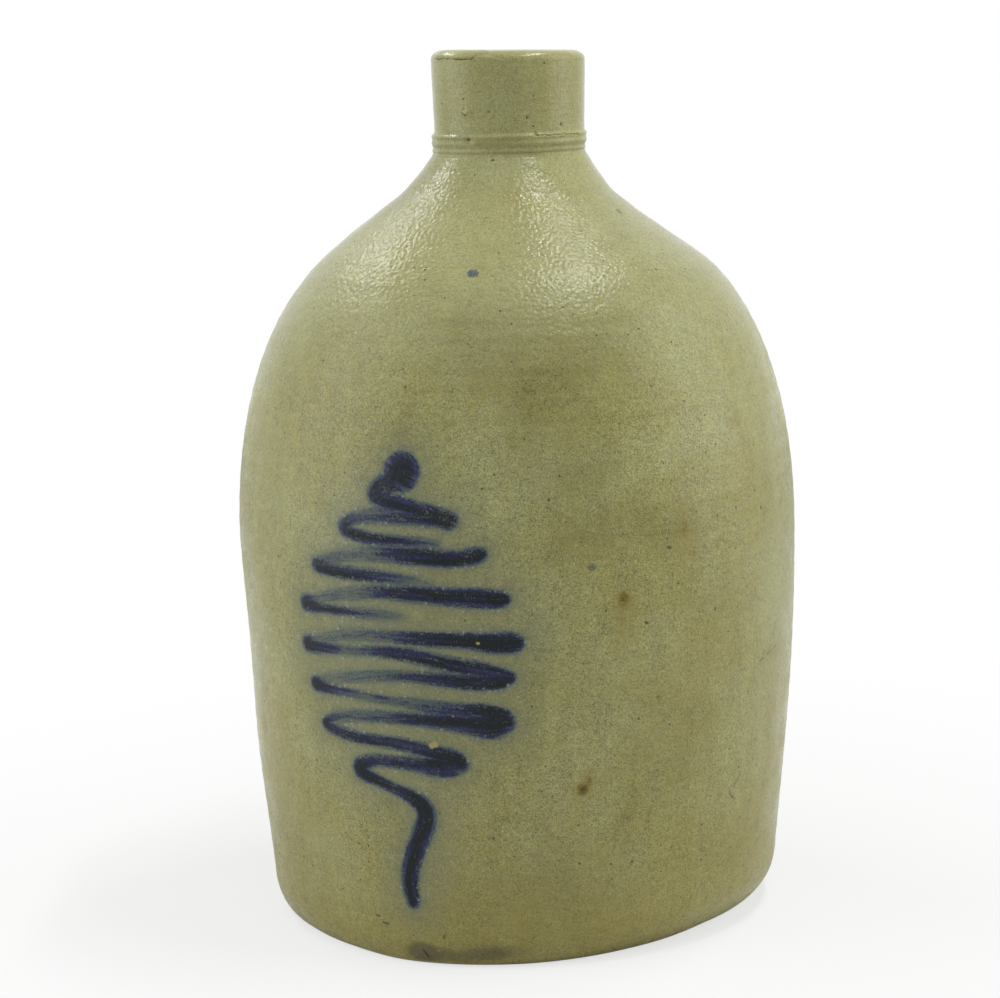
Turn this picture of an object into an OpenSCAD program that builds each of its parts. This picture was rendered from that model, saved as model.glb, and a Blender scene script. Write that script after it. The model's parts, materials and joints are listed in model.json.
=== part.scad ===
// One-gallon stoneware jug: thrown clay body, tooled collar, pulled strap handle,
// brown slip inside and a brushed cobalt zigzag on the front.
// The jug stands on z = 0, its axis is Z, the decorated front faces -Y and the handle is on +Y.

/* [Foot and floor] */
// How far in the rounding of the foot reaches, from the wall to the flat resting face
foot_round_w = 5.9; // [3:0.1:9]
// How far up the rounding of the foot reaches
foot_round_h = 14; // [13:0.5:20]
// Thickness of the thrown floor
floor_t = 10; // [7:0.5:12]
// Radius of the cove between the floor and the wall, inside
floor_cove_r = 9; // [6:0.5:14]

/* [Barrel and shoulder] */
// Largest radius, at the belly
belly_r = 93.1; // [85:0.1:105]
// Height of the belly above the table, where the barrel and the shoulder are luted
barrel_h = 127; // [110:1:145]
// How much narrower the barrel is at its foot than at the belly
barrel_taper = 7.7; // [4:0.1:12]
// Thickness of the thrown wall
wall_t = 7.5; // [5.5:0.25:9]
// Height of the shoulder's dome, from the belly to the foot of the neck
shoulder_h = 92; // [80:1:105]
// How far the shoulder draws in, from the belly to the foot of the neck
shoulder_in = 32.1; // [26:0.1:38]
// Slope where the shoulder turns into the neck, radius lost for each unit of height
shoulder_slope = 1.3; // [1:0.05:1.6]

/* [Neck, collar and spout] */
// Height of the neck, from the shoulder to the collar
neck_h = 32; // [27:0.5:38]
// Radius of the neck just under the collar
neck_r = 26.2; // [23:0.2:30]
// How far the collar's ridge stands out from the neck
collar_proud = 1.1; // [0.6:0.1:3]
// Height of the tooled collar
collar_h = 8; // [6:0.5:10]
// How far the spout steps in from the neck, above the collar
spout_step = 1.5; // [0.5:0.1:3]
// How much wider the spout is at its top
spout_flare = 0.6; // [0:0.1:1.5]
// Height of the spout, from the collar to the rim
spout_h = 26; // [20:0.5:34]
// Radius of the rounding of the rim
rim_round = 3; // [1.5:0.25:3.5]
// Radius of the bore that takes the cork
bore_r = 13.5; // [11:0.25:14.5]

/* [Strap handle] */
// Width of the strap at its narrowest
strap_w = 29; // [24:0.5:36]
// Thickness of the strap at mid length
strap_t = 8.6; // [7:0.2:11]
// How far the strap's middle line stands out from the foot of the neck
strap_out = 19; // [15:0.5:24]
// How far the top of the strap's middle line rises over the lower edge of the collar
strap_rise = 11; // [8:0.5:16]
// How far under the collar the strap leaves the neck
strap_root_drop = 8; // [6:0.5:10]
// How far under the foot of the neck the strap comes down on the shoulder
strap_foot_drop = 18; // [13:0.5:23]
// Depth of the two finger grooves along the strap
strap_groove = 1; // [0:0.1:1.6]
// Extra width where the clay is smeared on to the jug
strap_flare = 7; // [2:0.5:10]

/* [Slips] */
// Thickness of the brown slip inside
lining_t = 0.6; // [0.4:0.1:1.2]
// Thickness of the cobalt slip on the wall
cobalt_t = 0.4; // [0.3:0.05:0.8]
// Play between a slip or a luted piece and the clay that carries it
seat_gap = 0.1; // [0.05:0.05:0.2]

/* [Cobalt decoration] */
// Angle of the decoration's middle line, to the left of the front
deco_angle = 24.5; // [10:0.5:40]
// Half the width of the zigzag at its widest
zigzag_half_w = 40; // [30:1:46]
// Height of the first turn on the right above the belly
zigzag_rise = 18.5; // [12:0.5:28]
// Height from one turn to the next on the same side
zigzag_pitch = 12.9; // [11:0.1:14]
// How far each left turn lies under the right turn before it
zigzag_lag = 4.2; // [3:0.1:6]
// Width of the brush stroke at a turn
brush_w = 5.4; // [4:0.1:6.5]
// Radius of the round blob where the brush was first set down
head_r = 6.2; // [5:0.1:8]
// Height of the lowest point of the tail
tail_end_z = 20; // [16:0.5:28]
// Radius of a stray drop of cobalt
drop_r = 1.5; // [1:0.1:2.5]

/* [Hidden] */
$fn = 96;
overrun = 2;
foot_steps = 6;
barrel_steps = 9;
dome_steps = 14;
neck_steps = 10;
round_steps = 5;

// shares of the length of a curve at which its control points lie
barrel_pull_share = 1 / 3;
dome_low_pull_share = 0.41;
dome_high_pull_share = 0.185;
neck_low_pull_share = 0.46;
neck_high_pull_share = 0.24;
throat_low_pull_share = 0.5;
throat_high_pull_share = 0.4;
lean_share = 0.1;

// heights above the table, and radii outside and inside the wall
belly_z = barrel_h;
dome_z = belly_z + shoulder_h;
neck_z = dome_z + neck_h;
collar_top_z = neck_z + collar_h;
rim_z = collar_top_z + spout_h;
foot_edge_r = belly_r - barrel_taper;
foot_r = foot_edge_r - foot_round_w;
dome_r = belly_r - shoulder_in;
collar_r = neck_r + collar_proud;
spout_r = neck_r - spout_step;
spout_top_r = spout_r + spout_flare;
barrel_in_r = foot_edge_r - wall_t;
belly_in_r = belly_r - wall_t;
dome_in_r = dome_r - wall_t * sqrt(1 + shoulder_slope * shoulder_slope);

function along(a, b, t) = a + (b - a) * t;
function bezier(p, t) = pow(1 - t, 3) * p[0] + 3 * pow(1 - t, 2) * t * p[1]
    + 3 * (1 - t) * t * t * p[2] + pow(t, 3) * p[3];
function curve(p, steps) = [for (i = [0:steps]) bezier(p, i / steps)];
// an elliptic quarter from the point from, which it leaves flat, to the point to, which it meets upright
function flat_then_upright(from, to, a0, a1, steps) = [for (i = [0:steps])
    let (a = along(a0, a1, i / steps)) [along(from.x, to.x, sin(a)), along(from.y, to.y, 1 - cos(a))]];
function unit(v) = v / norm(v);
// the path moved sideways by d, to its left as it runs
function shifted(path, d) = [for (i = [0:len(path) - 1])
    let (a = path[max(i - 1, 0)], b = path[min(i + 1, len(path) - 1)], t = unit(b - a))
    path[i] + [-t.y, t.x] * d];
function backwards(path) = [for (i = [len(path) - 1:-1:0]) path[i]];
function without_last(path) = [for (i = [0:len(path) - 2]) path[i]];

// the foot's rounding, an elliptic quarter, cut in two where the floor ends
floor_angle = acos(1 - floor_t / foot_round_h);
foot_low = flat_then_upright([foot_r, 0], [foot_edge_r, foot_round_h], 0, floor_angle, foot_steps);
foot_high = flat_then_upright([foot_r, 0], [foot_edge_r, foot_round_h], floor_angle, 90, foot_steps);

// a barrel curve from the foot to the belly, and a dome curve from the belly to the neck
function barrel_curve(r0, z0, r1, z1) = let (pull = (z1 - z0) * barrel_pull_share)
    curve([[r0, z0], [r0 + pull * lean_share, z0 + pull], [r1, z1 - pull], [r1, z1]], barrel_steps);
function dome_curve(r0, z0, r1, z1) = let (low = (z1 - z0) * dome_low_pull_share,
        high = (z1 - z0) * dome_high_pull_share)
    curve([[r0, z0], [r0, z0 + low], [r1 + shoulder_slope * high, z1 - high], [r1, z1]], dome_steps);
function neck_curve(r0, z0, r1, z1, low_share, high_share) = let (low = (z1 - z0) * low_share,
        high = (z1 - z0) * high_share)
    curve([[r0, z0], [r0 - shoulder_slope * low, z0 + low], [r1, z1 - high], [r1, z1]], neck_steps);

barrel_out = barrel_curve(foot_edge_r, foot_round_h, belly_r, belly_z);
dome_out = dome_curve(belly_r, belly_z, dome_r, dome_z);
neck_out = neck_curve(dome_r, dome_z, neck_r, neck_z, neck_low_pull_share, neck_high_pull_share);
cove_in = flat_then_upright([barrel_in_r - floor_cove_r, floor_t], [barrel_in_r, floor_t + floor_cove_r],
    0, 90, round_steps);
barrel_in = barrel_curve(barrel_in_r, floor_t + floor_cove_r, belly_in_r, belly_z);
dome_in = dome_curve(belly_in_r, belly_z, dome_in_r, dome_z);
throat_in = neck_curve(dome_in_r, dome_z, bore_r, neck_z, throat_low_pull_share, throat_high_pull_share);

outside = concat(without_last(foot_low), without_last(foot_high), without_last(barrel_out),
    without_last(dome_out), neck_out);
inside = concat(without_last(cove_in), without_last(barrel_in), without_last(dome_in), throat_in);

module turned(outline) {
    rotate_extrude() polygon(outline);
}

module floor_disc() {
    color("#b4ac84")
        turned(concat([[0, 0]], foot_low, [[0, floor_t]]));
}

module barrel_wall() {
    color("#aea97f")
        turned(concat(without_last(foot_high), barrel_out,
            backwards(concat(without_last(cove_in), barrel_in))));
}

module shoulder_dome() {
    color("#b3ad84")
        turned(concat(dome_out, backwards(dome_in)));
}

module neck() {
    color("#a9a47a")
        turned(concat(neck_out, backwards(throat_in)));
}

// The collar is a groove, a rounded ridge and a step in to the spout.
groove_depth_share = 0.3;
groove_z_share = 0.28;
ridge_low_share = 0.5;
ridge_high_share = 0.82;
module collar_ring() {
    groove_z = neck_z + collar_h * groove_z_share;
    ridge_low = [neck_r, neck_z + collar_h * ridge_low_share];
    ridge_high = [spout_r, neck_z + collar_h * ridge_high_share];
    ridge_mid_z = (ridge_low.y + ridge_high.y) / 2;
    ridge = [for (i = [0:round_steps * 2])
        let (a = -90 + 180 * i / (round_steps * 2))
        [max(neck_r, spout_r) + (collar_r - max(neck_r, spout_r)) * cos(a),
            ridge_mid_z + (ridge_high.y - ridge_low.y) / 2 * sin(a)]];
    color("#a39e75")
        turned(concat([[bore_r, neck_z], [neck_r, neck_z]],
            [[neck_r - collar_proud * groove_depth_share, groove_z]],
            ridge, [[spout_r, collar_top_z], [bore_r, collar_top_z]]));
}

module spout() {
    outer_edge = [for (i = [0:round_steps]) let (a = 90 * i / round_steps)
        [spout_top_r - rim_round * (1 - cos(a)), rim_z - rim_round * (1 - sin(a))]];
    inner_edge = [for (i = [0:round_steps]) let (a = 90 * i / round_steps)
        [bore_r + rim_round * (1 - sin(a)), rim_z - rim_round * (1 - cos(a))]];
    color("#b0ab82")
        turned(concat([[bore_r, collar_top_z], [spout_r, collar_top_z]], outer_edge, inner_edge));
}

// The strap is a section carried along two joined curves in the plane x = 0. It runs on into the clay
// at both ends, and the outside of the clay trims it. The section is a rounded oblong with two grooves
// on its outer face, and a thumb has pressed the lower end down.
strap_rings = 28;
strap_sides = 28;
oblong_power_share = 0.55;
strap_over_share = 1 / 3;
strap_bend_share = 0.42;
strap_rise_share = 1.36;
strap_drop_share = 0.33;
strap_end_share = 0.9;
root_thick_share = 0.3;
foot_thin_share = 0.2;
groove_place_share = 0.42;
groove_half_share = 0.26;
thumb_place_share = 0.87;
thumb_r_share = 1.4;
thumb_depth_share = 0.22;
tangent_share = 0.002;

strap_top_z = neck_z + strap_rise;
strap_foot_z = dome_z - strap_foot_drop;
strap_mid_z = along(strap_top_z, strap_foot_z, strap_bend_share);
strap_high_z = along(strap_mid_z, strap_top_z, strap_rise_share);
strap_reach = dome_r + strap_out;
strap_root = [neck_r - wall_t / 2, neck_z - strap_root_drop];
strap_mid = [strap_reach, strap_mid_z];
strap_foot = [strap_reach * strap_end_share, strap_foot_z - strap_t];
strap_fall = (strap_mid.y - strap_foot.y) * strap_drop_share;
strap_over = [strap_root, [along(strap_root.x, strap_mid.x, strap_over_share), strap_high_z],
    [strap_mid.x, strap_high_z], strap_mid];
strap_down = [strap_mid, strap_mid - [0, strap_fall],
    [strap_mid.x, strap_foot.y + strap_fall], strap_foot];

function power(v, p) = sign(v) * pow(abs(v), p);
function strap_point(t) = t < 0.5 ? bezier(strap_over, 2 * t) : bezier(strap_down, 2 * t - 1);
function strap_normal(t) = let (d = unit(strap_point(t + tangent_share) - strap_point(t - tangent_share)))
    [-d.y, d.x];
function strap_width(t) = strap_w + strap_flare * (pow(1 - t, 6) + pow(t, 5));
function strap_thick(t) = strap_t
    * (1 + root_thick_share * pow(1 - t, 4) - foot_thin_share * pow(t, 4));
function groove(x) = strap_groove * max(0, 1 - pow((abs(x) - groove_place_share) / groove_half_share, 2));
function strap_section(t) = [for (j = [0:strap_sides - 1])
    let (a = 360 * j / strap_sides, x = power(cos(a), oblong_power_share),
        y = power(sin(a), oblong_power_share))
    [x * strap_width(t) / 2, y * strap_thick(t) / 2 - (y > 0 ? groove(x) : 0)]];
function strap_ring(t) = let (p = strap_point(t), n = strap_normal(t))
    [for (q = strap_section(t)) [q.x, p.x + n.x * q.y, p.y + n.y * q.y]];

module strap_handle() {
    points = [for (i = [0:strap_rings]) each strap_ring(i / strap_rings)];
    sides = [for (i = [0:strap_rings - 1], j = [0:strap_sides - 1])
        let (k = (j + 1) % strap_sides)
        [i * strap_sides + j, i * strap_sides + k, (i + 1) * strap_sides + k, (i + 1) * strap_sides + j]];
    low_end = [for (j = [strap_sides - 1:-1:0]) j];
    high_end = [for (j = [0:strap_sides - 1]) strap_rings * strap_sides + j];
    thumb_r = strap_t * thumb_r_share;
    thumb = strap_point(thumb_place_share) + strap_normal(thumb_place_share)
        * (strap_thick(thumb_place_share) / 2 + thumb_r - strap_t * thumb_depth_share);
    color("#a8a27a")
        difference() {
            polyhedron(points, concat(sides, [low_end, high_end]), convexity = 4);
            turned(concat([[0, 0]], shifted(outside, -seat_gap), [[collar_r + seat_gap, neck_z],
                [collar_r + seat_gap, collar_top_z], [0, collar_top_z]]));
            translate([0, thumb.x, thumb.y]) sphere(thumb_r);
        }
}

module slip_lining() {
    color("#4a3524")
        turned(concat([[0, floor_t + seat_gap]], shifted(inside, seat_gap),
            backwards(shifted(inside, seat_gap + lining_t)), [[0, floor_t + seat_gap + lining_t]]));
}

// A coat of cobalt slip over the whole outside, from which the strokes and drops are cut
module cobalt_coat() {
    turned(concat(shifted(outside, -seat_gap), backwards(shifted(outside, -seat_gap - cobalt_t))));
}

// The zigzag is drawn flat, with s along the wall and z up, and every point is then wrapped on to the belly.
// The brush goes left in a rising bow and comes back lower and thinner. Twice it runs dry on the way back.
zigzag_turns = 7;
right_reach_share = [0.49, 0.68, 0.84, 0.93, 0.88, 0.83, 0.45];
left_reach_share = [0.44, 0.73, 0.86, 0.88, 0.82, 0.76, 0.42];
back_reach_share = [0.8, 0.62, 0.5, 1, 1, 1];
right_weight_share = [0.9, 0.9, 1, 1.1, 1, 1.3, 1.1];
back_weight_share = [0.4, 0.3, 0.25, 0.9, 0.9, 1];
left_weight_share = 0.75;
middle_weight_share = 0.65;
thin_weight_share = 0.5;
hook_weight_share = 0.9;
bow_share = 0.2;
back_bow_share = 0.05;
blob_share = 1.12;
head_place_share = [0.065, 1.04];
head_hook_share = [-0.155, 0.52];
tail_share = [[-0.24, 0.09], [-0.09, 0.13], [0.035, 0.17], [0.14, 0.23], [0.185, 0.31],
    [0.16, 0.42], [0.08, 0.57], [0.01, 0.72], [-0.01, 0.86], [0.01, 1]];
tail_weight_share = [0.55, 0.55, 0.7, 0.9, 1, 1, 0.95, 0.9, 0.8, 0.45];

first_turn_z = belly_z + zigzag_rise;
function wrapped(p) = [belly_r * sin(p.x / belly_r * 180 / PI), p.y];
right_turns = [for (i = [0:zigzag_turns - 1])
    [zigzag_half_w * right_reach_share[i], first_turn_z - zigzag_pitch * i]];
left_turns = [for (i = [0:zigzag_turns - 1])
    [-zigzag_half_w * left_reach_share[i], first_turn_z - zigzag_pitch * i - zigzag_lag]];
head = [zigzag_half_w * head_place_share.x, first_turn_z + zigzag_pitch * head_place_share.y];
hook = [zigzag_half_w * head_hook_share.x, first_turn_z + zigzag_pitch * head_hook_share.y];
last_turn = left_turns[zigzag_turns - 1];
tail = [for (q = tail_share) [zigzag_half_w * q.x, along(last_turn.y, tail_end_z, q.y)]];

// a ribbon along a path, with half of its width given at each point
function across(path, i) = let (n = len(path) - 1, t = unit(path[min(i + 1, n)] - path[max(i - 1, 0)]))
    [-t.y, t.x];
function ribbon(path, half) = let (n = len(path) - 1) concat(
    [for (i = [0:n]) path[i] + across(path, i) * half[i]],
    [for (i = [n:-1:0]) path[i] - across(path, i) * half[i]]);
leg_steps = 8;
function leg(a, b, wa, wb, middle, bow) = ribbon(
    [for (i = [0:leg_steps]) let (t = i / leg_steps) along(a, b, t) + [0, 4 * t * (1 - t) * bow]],
    [for (i = [0:leg_steps]) let (t = i / leg_steps, m = 4 * t * (1 - t))
        brush_w / 2 * (along(wa, wb, t) * (1 - m) + middle * m)]);

reach = belly_r + overrun;
module stroke(outline) {
    linear_extrude(reach) polygon([for (p = outline) wrapped(p)]);
}

module blob(p, r) {
    translate(wrapped(p)) cylinder(reach, r, r);
}

module zigzag() {
    blob(head, head_r);
    stroke(leg(head, hook, 1, hook_weight_share, middle_weight_share, 0));
    blob(hook, brush_w / 2 * blob_share);
    stroke(leg(hook, right_turns[0], hook_weight_share, right_weight_share[0], middle_weight_share, 0));
    for (i = [0:zigzag_turns - 1]) {
        blob(right_turns[i], brush_w / 2 * right_weight_share[i] * blob_share);
        blob(left_turns[i], brush_w / 2 * left_weight_share * blob_share);
        stroke(leg(right_turns[i], left_turns[i], right_weight_share[i], left_weight_share,
            middle_weight_share, zigzag_pitch * bow_share));
    }
    for (i = [0:zigzag_turns - 2])
        stroke(leg(left_turns[i], along(left_turns[i], right_turns[i + 1], back_reach_share[i]),
            left_weight_share, back_weight_share[i], thin_weight_share, zigzag_pitch * back_bow_share));
    stroke(ribbon(concat([last_turn], tail),
        concat([brush_w / 2 * left_weight_share], brush_w / 2 * tail_weight_share)));
}

// stands a drawing up at an angle round the jug, reaching out through the coat
module painted(turn) {
    rotate([0, 0, turn]) rotate([90, 0, 0]) children();
}

module cobalt_zigzag() {
    color("#23285a")
        intersection() {
            cobalt_coat();
            painted(-deco_angle) zigzag();
        }
}

// Stray drops: at the foot of the neck, just over the belly, and half way up the neck
drop_angles = [-10, 14.4, 59];
drop_size_shares = [1, 0.95, 0.8];
drop_up_shares = [0.02, 0.045, 0.48];
drop_zs = [along(dome_z, neck_z, drop_up_shares[0]), along(belly_z, dome_z, drop_up_shares[1]),
    along(dome_z, neck_z, drop_up_shares[2])];
module cobalt_drops() {
    color("#3a4a78")
        intersection() {
            cobalt_coat();
            for (i = [0:len(drop_angles) - 1])
                painted(drop_angles[i]) translate([0, drop_zs[i]])
                    cylinder(reach, drop_r * drop_size_shares[i], drop_r * drop_size_shares[i]);
        }
}

floor_disc();
barrel_wall();
shoulder_dome();
neck();
collar_ring();
spout();
strap_handle();
slip_lining();
cobalt_zigzag();
cobalt_drops();
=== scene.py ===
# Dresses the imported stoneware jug: thrown clay skin, brushed cobalt, strap handle, floor, lamps and camera.
import json
import math
import bpy
import numpy as np
from mathutils import Matrix, Vector


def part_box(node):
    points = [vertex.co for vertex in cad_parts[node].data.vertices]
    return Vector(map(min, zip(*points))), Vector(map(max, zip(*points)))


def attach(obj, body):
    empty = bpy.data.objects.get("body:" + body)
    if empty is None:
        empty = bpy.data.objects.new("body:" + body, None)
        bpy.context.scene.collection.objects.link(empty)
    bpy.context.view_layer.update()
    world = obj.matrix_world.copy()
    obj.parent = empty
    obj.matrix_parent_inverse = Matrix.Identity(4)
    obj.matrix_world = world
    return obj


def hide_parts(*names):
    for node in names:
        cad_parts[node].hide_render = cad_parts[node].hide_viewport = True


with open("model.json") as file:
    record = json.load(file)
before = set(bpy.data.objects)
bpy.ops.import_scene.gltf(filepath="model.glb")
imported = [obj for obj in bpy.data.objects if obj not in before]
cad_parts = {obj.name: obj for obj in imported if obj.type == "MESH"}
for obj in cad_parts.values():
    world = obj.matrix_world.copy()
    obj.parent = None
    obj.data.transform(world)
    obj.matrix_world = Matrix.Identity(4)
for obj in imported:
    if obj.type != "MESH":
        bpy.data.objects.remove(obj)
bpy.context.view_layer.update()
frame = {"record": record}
mm = 0.001
# azimuths below are in degrees, turned to the right from the decorated front, -Y

# sizes read from the frame, in metres
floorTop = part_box("floor_disc")[1].z
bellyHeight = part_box("barrel_wall")[1].z
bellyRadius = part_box("barrel_wall")[1].x
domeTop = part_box("shoulder_dome")[1].z
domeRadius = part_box("neck")[1].x
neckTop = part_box("neck")[1].z
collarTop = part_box("collar_ring")[1].z
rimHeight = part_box("spout")[1].z
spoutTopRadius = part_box("spout")[1].x
boreRadius = frame["record"]["mounts"][0]["dims"]["r_mm"] * mm

# the sizes that the frame's boxes don't show, in metres
shoulderSlope = 1.3  # outwards per unit of height, where dome and neck meet
clay = {
    "footRounding": (5.9 * mm, 14 * mm),  # how far in and how far up the foot's rounding reaches
    "taper": 7.7 * mm,
    "wall": 7.5 * mm,
    "cove": 9 * mm,
    "neckRadius": 26.2 * mm,
    "spoutStep": 1.5 * mm,
    "rimRounding": (4.2 * mm, 3 * mm),
    "boreRounding": 3 * mm,
    "columns": (0.5, 1.5),  # degrees from column to column on the front half and on the back half
    "rows": 0.85 * mm,
    "innerRows": 3.5 * mm,
    "hollow": (0.35 * mm, 76 * mm, 60 * mm),  # the underside's hollow: depth, and the radii where it begins and is full
    # the curves' handles: shares of the height below and above, then how far out per unit of height, below and above
    "barrelPull": (1 / 3, 1 / 3, 0.1, 0),
    "domePull": (0.41, 0.185, 0, shoulderSlope),
    "neckPull": (0.69, 0.48, -shoulderSlope, 0.7),
    "neckInsidePull": (0.5, 0.4, -shoulderSlope, 0),
}


def bezierLine(p, count=2000):
    # point = (1-t)^3 p0 + 3 (1-t)^2 t p1 + 3 (1-t) t^2 p2 + t^3 p3
    t = np.linspace(0, 1, count)[:, None]
    p = np.array(p, float)
    return (1 - t) ** 3 * p[0] + 3 * (1 - t) ** 2 * t * p[1] + 3 * (1 - t) * t ** 2 * p[2] + t ** 3 * p[3]


def quarterLine(start, end, first=0.0, last=90.0, count=400):
    # elliptic quarter that leaves start flat and meets end upright
    a = np.radians(np.linspace(first, last, count))
    (r0, z0), (r1, z1) = start, end
    return np.stack([r0 + (r1 - r0) * np.sin(a), z0 + (z1 - z0) * (1 - np.cos(a))], 1)


def straightLine(start, end, count=50):
    return np.linspace(start, end, count)


def smooth(low, high, x):
    # smoothstep from 0 at low to 1 at high
    t = np.clip((x - low) / (high - low), 0, 1)
    return t * t * (3 - 2 * t)


def spaced(line, step, seams=True):
    # points at equal steps of length along the line, and closer ones beside each seam
    run = np.concatenate([[0], np.cumsum(np.hypot(*np.diff(line, axis=0).T))])
    places = np.linspace(0, run[-1], max(2, round(run[-1] / step)) + 1)
    if seams:
        near = np.array([0.08, 0.2, 0.45]) * mm
        places = np.unique(np.concatenate([places, near, run[-1] - near]))
    return np.stack([np.interp(places, run, line[:, k]) for k in (0, 1)], 1)


def chained(lines, names, step, seams=True):
    # the named lines, spaced, one after another without the point that each shares with the one before it
    return np.concatenate([spaced(lines[k], step, seams)[(1 if n else 0):] for n, k in enumerate(names)])


# the profile, as in the part's source: lines of (radius, height)

footEdge = (bellyRadius - clay["taper"], clay["footRounding"][1])
footRadius = footEdge[0] - clay["footRounding"][0]
floorAngle = math.degrees(math.acos(1 - floorTop / footEdge[1]))
spoutRadius = clay["neckRadius"] - clay["spoutStep"]


def curvedLine(start, end, lowShare, highShare, lowOut, highOut):
    # Bezier curve between two places, with the handles that clay lists
    (r0, z0), (r1, z1) = start, end
    low, high = (z1 - z0) * lowShare, (z1 - z0) * highShare
    return bezierLine([start, (r0 + lowOut * low, z0 + low), (r1 + highOut * high, z1 - high), end])


# the collar: share of its height, how far out from the spout's foot in millimetres
collarShape = [
    (0, 0.80), (0.06, 0.60), (0.11, 0.44), (0.15, 0.30), (0.19, 0.46), (0.25, 0.61), (0.32, 0.48),
    (0.37, 0.40), (0.43, 0.60), (0.51, 0.84), (0.57, 0.88), (0.63, 0.76), (0.69, 0.68), (0.76, 0.75),
    (0.82, 0.85), (0.86, 0.80), (0.90, 0.50), (0.93, 0.20), (0.96, 0.04), (1, 0)]


def collarLine(count=600):
    # smooth line through the shape's places, measured from the spout's foot
    share, out = np.array(collarShape).T
    v = np.linspace(0, 1, count)
    width = count // 80
    kernel = np.hanning(width * 2 + 1)
    padded = np.pad(np.interp(v, share, out), width, mode="reflect", reflect_type="odd")
    bump = np.convolve(padded, kernel / kernel.sum(), mode="valid")
    return np.stack([spoutRadius + bump * mm, neckTop + (collarTop - neckTop) * v], 1)


(rimOut, rimDown), boreRound = clay["rimRounding"], clay["boreRounding"]
belly, neckFoot = (bellyRadius, bellyHeight), (domeRadius, domeTop)
outerLines = {
    "underside": straightLine((0, 0), (footRadius, 0)),
    "footLow": quarterLine((footRadius, 0), footEdge, 0, floorAngle),
    "footHigh": quarterLine((footRadius, 0), footEdge, floorAngle, 90),
    "barrel": curvedLine(footEdge, belly, *clay["barrelPull"]),
    "dome": curvedLine(belly, neckFoot, *clay["domePull"]),
    "neck": curvedLine(neckFoot, (spoutRadius + collarShape[0][1] * mm, neckTop), *clay["neckPull"]),
    "collar": collarLine(),
    "spout": straightLine((spoutRadius, collarTop), (spoutTopRadius, rimHeight - rimDown), 200),
    "rim": np.concatenate([
        quarterLine((spoutTopRadius - rimOut, rimHeight), (spoutTopRadius, rimHeight - rimDown))[::-1],
        quarterLine((boreRadius + boreRound, rimHeight), (boreRadius, rimHeight - boreRound))]),
}
wall, cove = clay["wall"], clay["cove"]
coveTop = (footEdge[0] - wall, floorTop + cove)
belly, neckFoot = (bellyRadius - wall, bellyHeight), (domeRadius - wall * math.hypot(1, shoulderSlope), domeTop)
innerLines = {
    "cove": quarterLine((coveTop[0] - cove, floorTop), coveTop),
    "barrel": curvedLine(coveTop, belly, *clay["barrelPull"]),
    "dome": curvedLine(belly, neckFoot, *clay["domePull"]),
    "neck": curvedLine(neckFoot, (boreRadius, neckTop), *clay["neckInsidePull"]),
    "collar": straightLine((boreRadius, neckTop), (boreRadius, collarTop)),
    "spout": straightLine((boreRadius, collarTop), (boreRadius, rimHeight - boreRound)),
}


# how the thrown jug departs from a turned one

crooked = {
    "lean": math.tan(math.radians(0.3)),
    "dent": (-90, 92 * mm, 55, 42 * mm, 1.1 * mm),  # azimuth, height, half width in degrees, half height, depth
    # azimuth and how much further in the foot stands there; the worn, cut-away side is the right
    "footInset": [(-180, 0.5), (-120, 0.1), (-60, 1.2), (-42, -0.3), (-28, -3.1), (-14, -2.2), (0, -0.6),
                  (12, 1.9), (25, 4.7), (50, 8.4), (75, 6.1), (105, 4.0), (140, 1.5), (180, 0.5)],
    "footCut": (14 * mm, 2 * mm, 75, 1.83),  # how high it reaches, how much more on the right, where, and its curve
    "sway": (-1.7 * mm, 229.5 * mm, 20 * mm),  # how far to the right, at which height, half height
    "spoutShift": 0.6 * mm,
    "rimTilt": 0.026,
    "rings": [  # pitch, height, wobble round the jug, phase
        (7.3 * mm, 0.035 * mm, 0.8, 0.4),
        (3.1 * mm, 0.012 * mm, 1.4, 2.1),
    ],
    "shoulderRings": (4.7 * mm, 0.045 * mm, (150 * mm, 172 * mm), (215 * mm, 196 * mm)),  # pitch, height, fades
    "wave": (0.22 * mm, 38 * mm, 31 * mm),  # height, and over how much of the wall it turns and fades
}
# the spout's and collar's tooling
tooled = {
    "lines": (1.9 * mm, 0.010 * mm),  # pitch and height of the fine lines, and of the swell under them
    "swell": (8.3 * mm, 0.04 * mm),
    "lip": ((-74, -66), (-16, -22), (282.3 * mm, 282.9 * mm), 0.22 * mm),  # azimuths, heights, how far it stands out
    "ridge": 0.10 * mm,
}
markRadius = 25.5 * mm  # the wall's radius where the marks are
marks = [  # raised and sunk places: azimuth, then height, radius and how far out in millimetres
    (-34.1, 265.8, 1.5, 0.45), (-35.4, 266.4, 0.8, -0.5), (-15.1, 265.7, 0.6, -0.35), (13.2, 263.5, 0.7, -0.35),
    (42.3, 260.7, 0.6, -0.3), (-11.6, 250.4, 0.7, -0.25), (-31.8, 256.9, 1.3, -0.55), (-4.0, 255.8, 1.5, -0.25),
    (19.5, 258.2, 0.7, -0.45),
]


def turnBetween(a, b):
    # shortest turn from azimuth b to azimuth a, in degrees
    return (a - b + 180) % 360 - 180


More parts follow.
